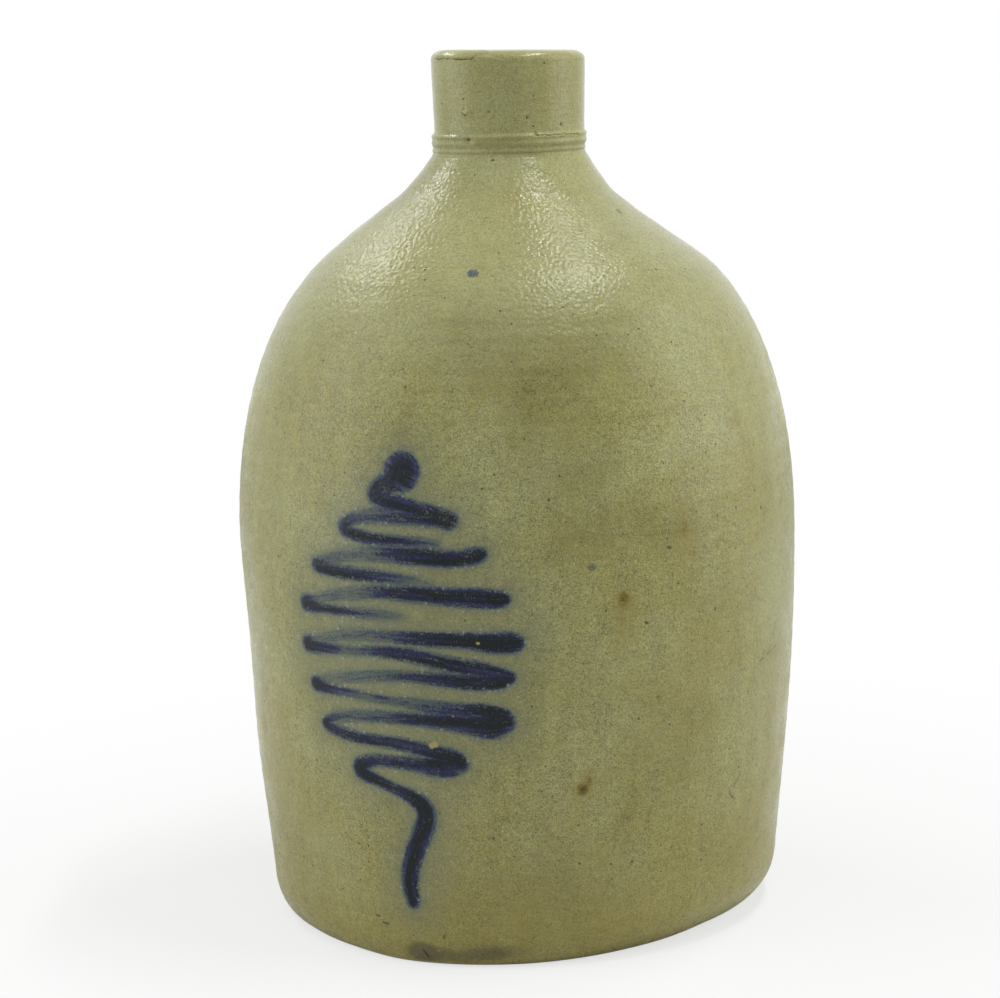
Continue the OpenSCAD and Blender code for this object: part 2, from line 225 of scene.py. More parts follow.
def relief(azimuth, z):
    # out along the normal, in metres: throwing rings that wobble, a slow wave, and the marks
    turn = np.radians(azimuth)
    out = np.zeros(np.broadcast(turn, z).shape)
    for pitch, height, wobble, phase in crooked["rings"]:
        out += height * np.sin(2 * np.pi * z / pitch + wobble * np.sin(turn + phase) + 0.6 * np.sin(3 * turn + phase))
    pitch, height, low, high = crooked["shoulderRings"]
    band = smooth(*low, z) * smooth(*high, z)
    out += height * band * np.sin(2 * np.pi * z / pitch + 1.1 * np.sin(turn - 0.4))
    height, turning, fading = crooked["wave"]
    band = smooth(0, 40 * mm, z) * smooth(250 * mm, 200 * mm, z)
    out += height * band * np.sin(2 * turn + 0.8 + z / turning) * np.cos(z / fading)
    for place, *sizes in marks:
        height, radius, proud = np.array(sizes) * mm
        across = np.radians(turnBetween(azimuth, place)) * markRadius
        out += proud * np.exp(-((across ** 2 + (z - height) ** 2) / radius ** 2) ** 1.5)
    return out


cracks = [  # lines of (azimuth, height in mm), depth, half width
    ([(-70, 282.1), (-52, 282.5), (-38, 282.2), (-27, 282.5), (-21, 283.6), (-17, 284.3)], 0.42 * mm, 0.20 * mm),
    ([(-17, 284.2), (-11, 283.2), (-2, 282.3)], 0.22 * mm, 0.25 * mm),
    ([(20, 258.0), (30, 257.7), (44, 257.8), (62, 257.4)], 0.5 * mm, 0.22 * mm),
]


def spoutRelief(azimuth, z):
    # tool lines, the cracks under the rim and along the collar's ridge, and the ridge's unevenness
    turn = np.radians(azimuth)
    pitch, height = tooled["lines"]
    out = height * np.sin(2 * np.pi * z / pitch + 0.7 * np.sin(turn + 1)) * smooth(259 * mm, 262 * mm, z)
    pitch, height = tooled["swell"]
    out = out + height * np.sin(2 * np.pi * z / pitch + 0.5 * np.sin(2 * turn))
    for line, depth, half in cracks:
        places, heights = np.array(line).T
        level = np.interp(azimuth, places, heights) * mm
        level = level + 0.08 * mm * np.sin(azimuth / 1.3) + 0.06 * mm * np.sin(azimuth / 0.7)
        ends = smooth(places[0] - 1, places[0] + 1, azimuth) * smooth(places[-1] + 1, places[-1] - 1, azimuth)
        out = out - depth * ends * np.exp(-((z - level) / half) ** 2)
    left, right, levels, proud = tooled["lip"]
    out = out + proud * smooth(*left, azimuth) * smooth(*right, azimuth) * smooth(*levels, z)
    ridge = tooled["ridge"] * smooth(neckTop, neckTop + 2 * mm, z) * smooth(collarTop + 0.5 * mm, collarTop - 2 * mm, z)
    return out + ridge * (np.sin(3 * turn + 0.5) + 0.6 * np.sin(7 * turn) + 0.5 * np.sin(17 * turn + 2))


def wallPlaces(azimuth, z, lift=0.0):
    # places on the outer skin, between the table and the rim, with its relief
    line = np.concatenate([line for name, line in outerLines.items() if name != "underside"])
    line = line[:line[:, 1].argmax() + 1]
    line = line[np.concatenate([[True], np.diff(line[:, 1]) > 0])]
    n = normalsOf(line)
    r, nr, nz = (np.interp(z, line[:, 1], v) for v in (line[:, 0], n[:, 0], n[:, 1]))
    fine = np.where(z > domeTop, spoutRelief(azimuth, z), 0)
    return skinPoint(azimuth, r, z, nr, nz, fine + lift)


# the foot's inset per degree, rounded off between the places given
footInset = np.interp(np.arange(-200, 201), *np.array(crooked["footInset"]).T, period=360) * mm
kernel = np.hanning(19)
footInset = np.convolve(footInset, kernel / kernel.sum(), mode="same")[20:-20]


def swayAt(z):
    # how far the axis is to the right at a height: the lean, the spout set off centre, the sway under the neck
    x = crooked["lean"] * (z - rimHeight / 2)
    x = x + crooked["spoutShift"] * smooth(neckTop - 4 * mm, neckTop + 5 * mm, z)
    reach, height, half = crooked["sway"]
    return x + reach * (1 - np.clip(np.abs(z - height) / half, 0, 1) ** 2) ** 2


def bent(azimuth, r, z):
    # the shared departure of every piece: the cut-away foot, dents, the axis's sway, and the rim's tilt
    height, more, place, curve = crooked["footCut"]
    height = height + more * np.clip(np.cos(np.radians(azimuth - place)), 0, 1)
    inset = np.interp((azimuth + 180) % 360, np.arange(len(footInset)), footInset)
    r = r - inset * np.clip(1 - z / height, 0, 1) ** curve * np.clip(r / footRadius, 0, 1) ** 2
    place, height, halfTurn, halfHeight, depth = crooked["dent"]
    near = np.clip(np.abs(turnBetween(azimuth, place)) / halfTurn, 0, 1) ** 2
    level = np.clip(np.abs(z - height) / halfHeight, 0, 1) ** 2
    r = r - depth * (1 - near) ** 2 * (1 - level) ** 2 * np.clip(r / (60 * mm), 0, 1)
    turn = np.radians(azimuth)
    drop = crooked["rimTilt"] * r * np.sin(turn) * smooth(collarTop, rimHeight, z)
    return np.stack([r * np.sin(turn) + swayAt(z), -r * np.cos(turn), z - drop], -1)


def normalsOf(line):
    # unit normals of a line of (radius, height), to the right of its run, which is outwards on the way up
    step = np.gradient(line, axis=0)
    step /= np.linalg.norm(step, axis=1, keepdims=True) + 1e-12
    return np.stack([step[:, 1], -step[:, 0]], 1)


def skinPoint(azimuth, r, z, nr, nz, fine=0.0):
    # the clay's skin = the plain outline + relief along its normal, then bent
    out = relief(azimuth, z) * smooth(2 * mm, 16 * mm, z) + fine
    return bent(azimuth, r + out * nr, z + out * nz)


def buildMesh(name, points, faces, sharp=None, values=None):
    # a mesh object from arrays: points n x 3, faces m x 4, sharp pairs of points, values name -> per point
    mesh = bpy.data.meshes.new(name)
    mesh.from_pydata(points.tolist(), [], faces.tolist() if isinstance(faces, np.ndarray) else faces)
    mesh.update()
    mesh.polygons.foreach_set("use_smooth", np.ones(len(mesh.polygons), bool))
    if sharp is not None:
        ends = np.zeros(len(mesh.edges) * 2, np.int64)
        mesh.edges.foreach_get("vertices", ends)
        ends = np.sort(ends.reshape(-1, 2), 1)
        keys = ends[:, 0] * len(points) + ends[:, 1]
        wanted = np.sort(np.array(sharp), 1)
        flags = np.isin(keys, wanted[:, 0] * len(points) + wanted[:, 1])
        mesh.attributes.new("sharp_edge", "BOOLEAN", "EDGE").data.foreach_set("value", flags)
    for key, value in (values or {}).items():
        mesh.attributes.new(key, "FLOAT", "POINT").data.foreach_set("value", np.asarray(value, np.float32).ravel())
    piece = bpy.data.objects.new(name, mesh)
    bpy.context.scene.collection.objects.link(piece)
    return piece


def loopFaces(rows, columns, closedRows=True):
    # quads between neighbouring rows and columns, the columns closed round the jug
    i = np.arange(rows if closedRows else rows - 1)[:, None]
    j = np.arange(columns)[None]
    k, l = (i + 1) % rows, (j + 1) % columns
    corners = np.broadcast_arrays(i * columns + j, i * columns + l, k * columns + l, k * columns + j)
    return np.stack(corners, -1).reshape(-1, 4)


def ringEdges(row, count):
    # pairs of neighbouring points round a row
    j = np.arange(count)
    return np.stack([row * count + j, row * count + (j + 1) % count], 1)


def fanFaces(pole, row, count, flipped=False):
    # triangles between a pole and a row of points
    edges = ringEdges(row, count)
    return np.insert(edges[:, ::-1] if flipped else edges, 0, pole, 1)


def tubeFaces(rows, count):
    # rows from pole to pole, where the two poles follow the grid's points
    faces = loopFaces(rows, count, closedRows=False).tolist() + fanFaces(rows * count, 0, count, True).tolist()
    return faces + fanFaces(rows * count + 1, rows - 1, count).tolist()


def capFaces(rows, count):
    # rows round one pole, which follows the grid's points: the quads, and the fan inside them
    return loopFaces(rows, count, closedRows=False)[:, ::-1], fanFaces(rows * count, 0, count)


def columnsOf(frontStep, backStep):
    # azimuths round the jug, closer on the front half
    return np.concatenate([np.arange(-100, 100, frontStep), np.arange(100, 260, backStep)])


# the brushed cobalt, in millimetres on the wall: s to the right of its middle line, z up

cobalt = {
    "middle": -24.5,  # azimuth of the middle line
    "film": 0.3,  # distance between the film's points
    "field": ((-44, 48), (12, 172)),  # where the film's points are looked for: s, z
    "reach": (60, 8, 178),  # where the ink and its halo are worked out: s on both sides, lowest and highest z
    "apart": (40, 9),  # each stroke's streaks come from another place of the noise, so far along and across
    "margin": 0.45,  # how far the film reaches past the strokes
    "sunk": 0.35 * mm,  # how deep the film's underside is in the wall
    "dropSunk": 0.3 * mm,
    # each pass of the brush: places of (s, z, half the width, wetness), the dry ones thinner
    "passes": [
        # the head
        [(2.6, 159.0, 6.2, 0.97), (2.8, 158.9, 6.2, 0.97)],
        [(2.4, 159.4, 4.6, 1), (1.8, 158.6, 4.2, 1)],
        # the hook under it, then the first way to the right
        [(-1.1, 155.5, 3.6, 0.95), (-4.6, 153.7, 3.4, 1), (-6.2, 151.9, 3.0, 1), (-4.2, 150.5, 2.6, 1),
         (0.9, 149.3, 2.6, 1), (6.3, 147.9, 2.6, 0.92), (11.5, 146.7, 2.7, 0.9), (15.9, 145.5, 2.9, 0.9),
         (19.0, 144.5, 2.7, 0.9)],
        # from each turn on the right to the left and back
        [(18.6, 143.9, 2.4, 0.9), (13.6, 144.8, 2.5, 0.85), (7.3, 145.3, 2.7, 0.75), (-0.3, 145.3, 2.7, 0.55),
         (-7.7, 144.9, 2.5, 0.42), (-13.6, 144.0, 2.2, 0.55), (-17.4, 142.2, 2.1, 0.95), (-17.3, 140.3, 2.1, 1),
         (-13.7, 139.0, 2.0, 1), (-7.2, 138.0, 1.9, 0.85), (-0.9, 137.7, 1.9, 0.8), (5.1, 137.5, 1.6, 0.7),
         (9.8, 137.4, 1.7, 0.45), (14.5, 136.9, 1.4, 0.2)],
        [(28.8, 134.3, 1.8, 0.9), (26.5, 133.5, 2.6, 1), (20.5, 132.6, 2.6, 1), (13.4, 132.9, 2.9, 0.9),
         (5.0, 133.4, 2.9, 0.78), (-2.6, 133.6, 2.8, 0.55), (-10.7, 133.2, 2.3, 0.3), (-19.4, 131.6, 2.1, 0.28),
         (-26.4, 129.7, 1.6, 0.5), (-29.4, 128.4, 2.3, 1), (-26.8, 127.5, 2.3, 1), (-20.1, 126.9, 2.1, 0.95),
         (-13.2, 126.6, 2.1, 0.9), (-6.1, 126.4, 1.9, 0.75), (0.6, 126.0, 2.0, 0.5), (7.0, 125.3, 1.7, 0.3),
         (12.7, 124.5, 1.1, 0.08)],
        [(35.6, 120.2, 1.6, 0.9), (34.0, 120.0, 2.6, 1), (27.1, 120.4, 3.1, 0.95), (19.2, 120.8, 2.9, 0.9),
         (11.0, 121.2, 2.7, 0.88), (3.7, 121.4, 2.6, 0.82), (-4.1, 121.4, 2.0, 0.75), (-12.3, 120.7, 2.2, 0.34),
         (-21.2, 119.2, 2.0, 0.28), (-31.0, 117.2, 1.5, 0.4), (-35.8, 115.4, 2.4, 1), (-33.0, 114.6, 2.2, 1),
         (-25.6, 114.3, 1.6, 0.8), (-16.4, 114.2, 1.4, 0.6), (-7.9, 114.3, 1.7, 0.42), (-1.1, 114.1, 1.5, 0.25),
         (2.7, 114.0, 1.0, 0.06)],
        [(39.1, 106.4, 2.2, 0.95), (37.1, 106.3, 3.3, 1), (30.7, 106.4, 3.2, 1), (23.7, 107.0, 2.6, 0.95),
         (14.6, 107.2, 2.4, 0.88), (6.2, 107.4, 2.3, 0.75), (-2.6, 107.5, 2.0, 0.5), (-11.9, 107.3, 2.0, 0.28),
         (-20.8, 106.2, 1.9, 0.26), (-31.2, 104.0, 1.4, 0.35), (-36.3, 102.0, 2.5, 1), (-33.4, 101.4, 2.3, 1),
         (-23.9, 101.6, 1.8, 0.6), (-14.7, 102.0, 1.6, 0.38), (-5.1, 102.5, 1.9, 0.75), (3.8, 101.9, 2.2, 0.82),
         (12.2, 100.6, 2.4, 0.88), (20.4, 99.0, 2.5, 0.88), (28.4, 97.6, 2.4, 0.85), (34.8, 96.2, 1.9, 0.9),
         (36.5, 95.5, 1.8, 0.95)],
        [(36.5, 95.3, 1.8, 0.95), (33.3, 94.4, 2.6, 1), (28.3, 94.0, 2.6, 0.95), (20.2, 94.2, 2.4, 0.88),
         (12.0, 94.7, 2.2, 0.75), (3.4, 95.1, 1.8, 0.6), (-5.7, 94.6, 1.9, 0.4), (-14.1, 93.7, 1.9, 0.26),
         (-23.4, 92.3, 1.8, 0.26), (-30.2, 90.9, 1.4, 0.35), (-33.6, 89.3, 2.3, 1), (-30.9, 88.6, 2.1, 0.95),
         (-23.8, 88.1, 1.6, 0.7), (-15.9, 87.7, 1.5, 0.45), (-8.5, 87.2, 1.5, 0.42), (-1.6, 86.7, 1.5, 0.35),
         (6.2, 86.2, 2.0, 0.42), (13.6, 85.4, 2.5, 0.55), (20.9, 84.7, 2.4, 0.7), (28.0, 84.1, 2.9, 0.85),
         (34.0, 82.8, 2.6, 0.95)],
        [(35.5, 81.4, 2.2, 1), (33.9, 81.0, 3.7, 1), (30.4, 80.0, 4.2, 1), (25.8, 80.2, 3.7, 1),
         (19.7, 80.7, 3.0, 0.95), (11.3, 81.2, 2.4, 0.85), (2.6, 81.4, 2.1, 0.78), (-6.6, 81.4, 2.0, 0.5),
         (-15.2, 80.8, 2.1, 0.38), (-23.3, 79.6, 1.9, 0.42), (-28.9, 77.9, 1.4, 0.8), (-30.4, 76.6, 1.6, 1),
         (-28.0, 75.5, 1.9, 0.95), (-21.7, 74.3, 1.9, 0.88), (-14.6, 73.5, 1.9, 0.82), (-7.2, 73.3, 2.0, 0.8),
         (-0.2, 72.9, 2.1, 0.8), (6.4, 71.8, 2.3, 0.8), (12.9, 70.4, 2.7, 0.85), (18.1, 68.8, 2.9, 0.9),
         (20.3, 67.5, 2.2, 0.95)],
        # the last turn, then the tail
        [(20.1, 67.1, 2.4, 0.95), (15.8, 66.6, 3.5, 1), (10.5, 66.3, 3.1, 0.95), (5.0, 66.6, 2.4, 0.8),
         (-1.8, 66.9, 2.1, 0.75), (-9.0, 66.8, 2.1, 0.7), (-14.3, 65.6, 2.3, 0.9), (-16.6, 64.0, 2.6, 1),
         (-15.5, 62.0, 2.5, 1), (-9.6, 60.1, 2.0, 0.85), (-3.7, 58.1, 2.0, 0.72), (1.4, 56.3, 2.3, 0.85),
         (5.4, 53.9, 3.0, 0.98), (7.2, 50.5, 3.4, 1), (6.1, 45.7, 3.5, 1), (2.9, 39.1, 3.4, 1),
         (0.3, 32.5, 3.2, 1), (-0.6, 26.0, 3.0, 1), (0.2, 20.8, 2.4, 0.98)],
    ],
    # stray drops: azimuth, z, half width, height to width, wetness
    "drops": [(-10.3, 217.3, 2.1, 0.6, 0.38), (-10.2, 208.5, 1.8, 0.7, 0.10), (14.0, 128.8, 1.5, 0.85, 0.26),
              (59.5, 232.6, 1.5, 0.6, 0.2)],
}


def roundedPath(stations):
    # a smooth path through the listed stations, nine places to each, by Catmull and Rom's cubic
    p = np.array(stations, float)
    p = np.concatenate([2 * p[:1] - p[1:2], p, 2 * p[-1:] - p[-2:-1]])
    u = np.linspace(0, len(stations) - 1 - 1e-6, len(stations) * 9)
    i, t = u.astype(int), (u % 1)[:, None]
    a, b, c, d = p[i], p[i + 1], p[i + 2], p[i + 3]
    return (2 * b + (c - a) * t + (2 * a - 5 * b + 4 * c - d) * t ** 2 + (3 * b - a - 3 * c + d) * t ** 3) / 2


def inkAt(s, z):
    # per place: how far in from a stroke's edge, wetness, place along and across the nearest stroke, gap to its edge
    shape = s.shape
    s, z = s.ravel(), z.ravel()
    clear, gap = np.ones(len(s)), np.full(len(s), 50.0)
    along, across = np.zeros(len(s)), np.zeros(len(s))
    alongStep, acrossStep = cobalt["apart"]
    for number, stations in enumerate(cobalt["passes"]):
        ps, pz, half, wet = roundedPath(stations).T
        step = np.stack([np.diff(ps), np.diff(pz)], 1)
        length = np.linalg.norm(step, axis=1) + 1e-9
        run = np.concatenate([[0], np.cumsum(length)])
        for i in range(len(length)):  # each short piece of the stroke, against all places near it
            reach = half[i] + 9
            near = np.nonzero((np.abs(s - ps[i]) < reach + length[i]) & (np.abs(z - pz[i]) < reach + length[i]))[0]
            ds, dz = s[near] - ps[i], z[near] - pz[i]
            t = np.clip((ds * step[i, 0] + dz * step[i, 1]) / length[i] ** 2, 0, 1)
            h, w = half[i] + (half[i + 1] - half[i]) * t, wet[i] + (wet[i + 1] - wet[i]) * t
            d = np.hypot(ds - t * step[i, 0], dz - t * step[i, 1]) - h
            here = w * smooth(0.9, -0.5, d) * (0.55 + 0.45 * smooth(0.0, -0.65, d / h))
            closer = d < gap[near]
            gap[near] = np.where(closer, d, gap[near])
            along[near] = np.where(closer, run[i] + t * length[i] + alongStep * number, along[near])
            off = (ds * step[i, 1] - dz * step[i, 0]) / length[i]
            across[near] = np.where(closer, off + acrossStep * number, across[near])
            clear[near] = np.minimum(clear[near], 1 - here)
    edge = np.clip(0.5 - gap / 4, 0, 1)
    values = {"inkEdge": edge, "inkWet": 1 - clear, "inkAlong": along, "inkAcross": across, "gap": gap}
    return {key: value.reshape(shape) for key, value in values.items()}


# where pooled ink has a frosty bloom: s, z, radius in millimetres
frostSpots = [
    (18.5, 146.4, 3.2), (12.0, 147.4, 2.2), (-2.6, 153.2, 2.0), (24.5, 134.6, 2.4), (17.0, 136.0, 1.6),
    (-25.5, 77.0, 2.0)]
# soft places on the clay, and places of painted sheen and painted shade: azimuth, height in millimetres, half width in
# degrees, half height in millimetres, strength
softMarksAndPaintedLight = {
    "pepper": [
        (6, 185, 13, 20, 1.0), (-9, 197, 10, 12, 0.7), (11, 158, 9, 10, 0.8), (13, 139, 7, 8, 0.75),
        (24, 141, 7, 8, 0.75), (30, 137, 4, 6, 0.8), (35, 140, 4, 6, 0.6), (45, 112, 9, 12, 0.5),
        (33, 64, 16, 20, 0.45), (11, 94, 9, 12, 0.3), (22, 194, 10, 9, 0.6), (6, 30, 24, 16, 0.4),
        (-11, 203.5, 6, 1.6, 0.7), (24, 202, 9, 1.6, 0.6), (62, 90, 5, 2, 0.6)],
    "ochre": [
        # (-14, 255.7) and (-5, 252.1): painted shade in the collar's downward-facing band and in its groove
        (-14, 255.7, 26, 1.3, 0.55), (-5, 252.1, 60, 0.5, 0.5), (34, 137, 3, 10, 0.7), (20.3, 118.2, 1.7, 3.0, 1.0),
        (19.6, 110, 2.0, 9, 0.6), (11.7, 58.0, 1.9, 2.9, 1.0), (13.0, 61.5, 1.8, 3.2, 0.7), (11.2, 50, 1.6, 6, 0.4),
        (40, 96, 14, 26, 0.35), (54, 148, 12, 20, 0.35), (2, 240, 9, 6, 0.4), (10, 14, 34, 16, 0.5),
        (-30, 8, 30, 9, 0.3), (-52, 44, 14, 16, 0.3), (-66, 60, 10, 30, 0.3), (38, 272, 20, 12, 0.3),
        (56, 30, 16, 16, 0.35), (28, 80, 14, 14, 0.25)],
    "grey": [
        (-22.7, 4.3, 4.4, 3.4, 1.0), (-15, 3.4, 8, 3.0, 0.5), (-6.6, 5.1, 8, 3.6, 0.6), (12.3, 138.2, 3, 3, 0.3),
        # (-20, 255.6) and (30, 256.0): painted shade along the collar's downward-facing band
        (29.5, 138.5, 3, 3, 0.3), (-20, 255.6, 17, 0.9, 0.35), (30, 256.0, 22, 0.7, 0.3)],
    # pale: (74, 205), (70, 110), (-70, 205) and (-60, 150) are painted sheen towards both sides; (58.0, 150) and (64.5,
    # 150) are narrow painted highlight strips; the two low on the left are the clay's own pale patches
    "pale": [
        (74, 205, 12, 26, 0.4), (70, 110, 13, 46, 0.4), (-70, 205, 14, 30, 0.25), (-48.9, 35.8, 7, 6, 0.55),
        (-36, 20, 9, 9, 0.3), (58.0, 150, 2.0, 60, 0.35), (64.5, 150, 2.2, 60, 0.35), (-60, 150, 8, 40, 0.25)],
    "bluish": [(-27, 104, 22, 46, 0.42), (-20, 38, 8, 24, 0.35)],
}


def softField(azimuth, z, spots):
    # sum of soft ellipses, at most 1
    total = np.zeros(np.broadcast(azimuth, z).shape)
    for place, height, halfTurn, halfHeight, strength in spots:
        far = (turnBetween(azimuth, place) / halfTurn) ** 2 + ((z / mm - height) / halfHeight) ** 2
        total = 1 - (1 - total) * (1 - strength * np.exp(-far * 1.1))
    return total


def skinValues(azimuth, z):
    # what the clay's and the cobalt's materials read at a place on the wall
    s = np.radians(turnBetween(azimuth, cobalt["middle"])) * bellyRadius / mm
    s, height = np.broadcast_arrays(s, z / mm)
    side, lowest, highest = cobalt["reach"]
    near = (np.abs(s) < side) & (height > lowest) & (height < highest)
    values = {key: np.zeros(s.shape) for key in ("inkEdge", "inkWet", "inkAlong", "inkAcross", "inkHalo", "inkFrost")}
    if near.any():
        ink = inkAt(s[near], height[near])
        gap = np.clip(ink.pop("gap"), 0, None)
        values["inkHalo"][near] = np.exp(-gap / 1.6) * 0.42 + np.exp(-gap / 8) * 0.52
        for key, value in ink.items():
            values[key][near] = value
    for ps, pz, radius in frostSpots:
        bloom = np.exp(-((s - ps) ** 2 + (height - pz) ** 2) / radius ** 2)
        values["inkFrost"] = np.maximum(values["inkFrost"], bloom)
    for key, spots in softMarksAndPaintedLight.items():
        values[key] = softField(azimuth, z, spots)
    return values


def addPiece(name, node, slotName, grid, faces, sharp=None, values=None):
    piece = buildMesh(name, grid, faces, sharp, values)
    piece.data.materials.append(materials[slotName])
    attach(piece, "root")
    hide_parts(node)
    print(name, len(grid), "points")


# materials

class Value:
    # a node's output, which adds, subtracts and multiplies as a number does: each step is a math node in its tree
    def __init__(self, tree, socket):
        self.tree, self.socket = tree, socket

    def __add__(self, other):
        return maths("ADD", self, other)

    def __sub__(self, other):
        return maths("SUBTRACT", self, other)

    def __rsub__(self, other):
        return maths("SUBTRACT", other, self)

    def __mul__(self, other):
        return maths("MULTIPLY", self, other)

    __radd__, __rmul__ = __add__, __mul__


def treeOf(*values):
    return next(v.tree for v in values if isinstance(v, Value))


def plug(tree, socket, value):
    if isinstance(value, Value):
        tree.links.new(value.socket, socket)
    else:
        socket.default_value = value


def addNode(tree, kind, inputs=(), out=0, **settings):
    # a node with its settings, then its inputs by name or number; gives back one output
    made = tree.nodes.new("ShaderNode" + kind)
    for key, value in settings.items():
        setattr(made, key, value)
    for key, value in (inputs.items() if isinstance(inputs, dict) else enumerate(inputs)):
        plug(tree, made.inputs[key], value)
    return Value(tree, made.outputs[out]) if made.outputs else None


def maths(kind, *values):
    return addNode(treeOf(*values), "Math", values, operation=kind)


def vectors(kind, *values, out=0, **named):
    # a step of vector arithmetic; out is 1 where the result is a number
    inputs = {**dict(enumerate(values)), **named}
    return addNode(treeOf(*inputs.values()), "VectorMath", inputs, out, operation=kind)


def mixed(share, a, b, blend="MIX"):
    tree = treeOf(share, a, b)
    made = tree.nodes.new("ShaderNodeMix")
    made.data_type, made.blend_type = "RGBA", blend
    for number, value in ((0, share), (6, a), (7, b)):  # the colour inputs of this node
        plug(tree, made.inputs[number], value)
    return Value(tree, made.outputs[2])


def layered(colour, colours, *layers):
    # lays one named colour after another over the first, each by its share
    for name, share in layers:
        colour = mixed(share, colour, colours[name])
    return colour


def noise(place, size, detail=2.0, rough=0.55, warp=0.0, out=0):
    # noise whose lumps are about size millimetres across, around 0.5
    return addNode(place.tree, "TexNoise", {
        "Vector": place, "Scale": 1 / size, "Detail": detail, "Roughness": rough, "Distortion": warp}, out)


def swayed(total, *noises):
    # a value swayed by noises: how far each is from its middle, times its strength
    for value, strength in noises:
        total = total + (value - 0.5) * strength
    return total


def scattered(place, size):
    # distance to the nearest of points about size millimetres apart, and that point's chance from 0 to 1
    cells = addNode(place.tree, "TexVoronoi",
                    {"Vector": place, "Scale": 1 / size, "Randomness": 1.0}, feature="F1")
    seed = Value(place.tree, cells.socket.node.outputs["Color"])
    return cells, addNode(place.tree, "SeparateColor", [seed])


def between(value, low, high, toLow=0.0, toHigh=1.0):
    # smoothstep of value from low to high
    return addNode(value.tree, "MapRange", {
        "Value": value, "From Min": low, "From Max": high, "To Min": toLow, "To Max": toHigh},
        interpolation_type="SMOOTHSTEP")


def attribute(tree, name):
    return addNode(tree, "Attribute", out=2, attribute_name=name)


def stretched(place, scale):
    return addNode(place.tree, "Mapping", {"Vector": place, "Scale": scale})


def millimetres(tree):
    # Object coordinates in millimetres
    return stretched(addNode(tree, "TexCoord", out=3), (1000, 1000, 1000))


def axisOf(place, axis):
    return addNode(place.tree, "SeparateXYZ", [place], out=axis)


clayColours = {
    "khaki": (0.303, 0.291, 0.106, 1),
    "pale": (0.348, 0.354, 0.165, 1),
    "olive": (0.200, 0.183, 0.050, 1),
    "pepper": (0.044, 0.034, 0.011, 1),
    "ochre": (0.265, 0.210, 0.046, 1),
    "rust": (0.165, 0.122, 0.018, 1),
    "iron": (0.075, 0.047, 0.011, 1),
    "grey": (0.095, 0.086, 0.050, 1),
    "bluish": (0.235, 0.255, 0.160, 1),
    "barePale": (0.380, 0.330, 0.210, 1),
}
cobaltColours = {
    "fringe": (0.082, 0.108, 0.096, 1),
    "thin": (0.060, 0.095, 0.098, 1),
    "body": (0.021, 0.027, 0.084, 1),
    "deep": (0.011, 0.014, 0.040, 1),
    "core": (0.004, 0.008, 0.008, 1),
    "halo": (0.140, 0.160, 0.115, 1),
    "frost": (0.300, 0.310, 0.330, 1),
    "bead": (0.340, 0.370, 0.320, 1),
    "fleck": (0.360, 0.310, 0.130, 1),
}
slipColours = {"dark": (0.030, 0.013, 0.006, 1), "brown": (0.085, 0.038, 0.015, 1)}

# small marks on the wall, and painted shadow lines: azimuth and height in millimetres of both ends, half width in
# millimetres
flecksAndPaintedShadows = {
    "dark": [
        (51.5, 54.1, 50.6, 51.9, 0.17), (50.6, 51.9, 49.6, 50.1, 0.16), (48.0, 48.6, 48.8, 46.6, 0.18),
        (48.8, 46.6, 50.0, 45.3, 0.2), (48.0, 141.3, 48.1, 141.0, 0.42), (56.9, 139.2, 57.0, 138.8, 0.45),
        (30.0, 132.5, 30.4, 132.3, 0.45), (41.3, 110.7, 41.3, 110.3, 0.42), (24.7, 109.9, 25.0, 109.6, 0.4),
        (56.5, 89.0, 58.3, 89.5, 0.18), (59.6, 90.3, 62.0, 91.0, 0.17), (62.8, 91.2, 64.6, 92.0, 0.2),
        (-33.9, 14.3, -33.2, 14.2, 0.36), (-32.3, 12.3, -31.0, 12.1, 0.32), (-22.6, 4.9, -21.6, 2.6, 0.36),
        # the next four: the dark line along the crack under the rim's chipped lip, painted as the lip's shadow
        (-67, 282.2, -52, 282.5, 0.24), (-52, 282.5, -38, 282.2, 0.24), (-38, 282.2, -27, 282.5, 0.2),
        (-27, 282.5, -20, 283.8, 0.15), (19.5, 258.1, 20.5, 257.9, 0.4), (21, 258.0, 32, 257.7, 0.18),
        (34, 257.75, 60, 257.5, 0.16), (-32.6, 256.9, -31.4, 256.9, 0.4), (-15.1, 265.9, -15.0, 265.5, 0.22),
        # the last on the next line, from -37 to -34: a painted shadow crescent under the raised pip
        (13.2, 263.7, 13.3, 263.4, 0.26), (42.3, 261.2, 42.4, 260.8, 0.24), (-37, 265.4, -34, 264.6, 0.25),
        (-11.8, 250.4, -11.4, 250.4, 0.42), (17.5, 260.9, 18.5, 260.7, 0.2), (-61, 268.4, -60, 268.2, 0.22)],
    "onInk": [(-8.1, 106.4, -7.9, 106.4, 0.42), (-18.1, 73.2, -17.3, 73.6, 0.85)],
}


def lineMark(place, ends):
    # 1 on the straight line between two places on the wall, falling to 0 at its half width
    firstTurn, firstHeight, lastTurn, lastHeight, half = ends
    start, end = wallPlaces(np.array([firstTurn, lastTurn]), np.array([firstHeight, lastHeight]) * mm) / mm
    run = end - start
    off = vectors("SUBTRACT", place, start.tolist())
    share = vectors("DOT_PRODUCT", off, (run / (run @ run)).tolist(), out=1)
    share = addNode(place.tree, "Clamp", [share])
    along = vectors("SCALE", run.tolist(), Scale=share)
    return between(vectors("DISTANCE", off, along, out=1), half * 1.5, half * 0.6)


def smallMarks(place, marksOfKind):
    # the strongest of the marks, on a place that wavers by a third of a millimetre
    waver = noise(place, 1 / 1.1, 2, 0.5, out=1)
    waver = vectors("SCALE", vectors("SUBTRACT", waver, (0.5, 0.5, 0.5)), Scale=0.6)
    place = vectors("ADD", place, waver)
    total = 0.0
    for ends in marksOfKind:
        total = maths("MAXIMUM", total, lineMark(place, ends))
    return total


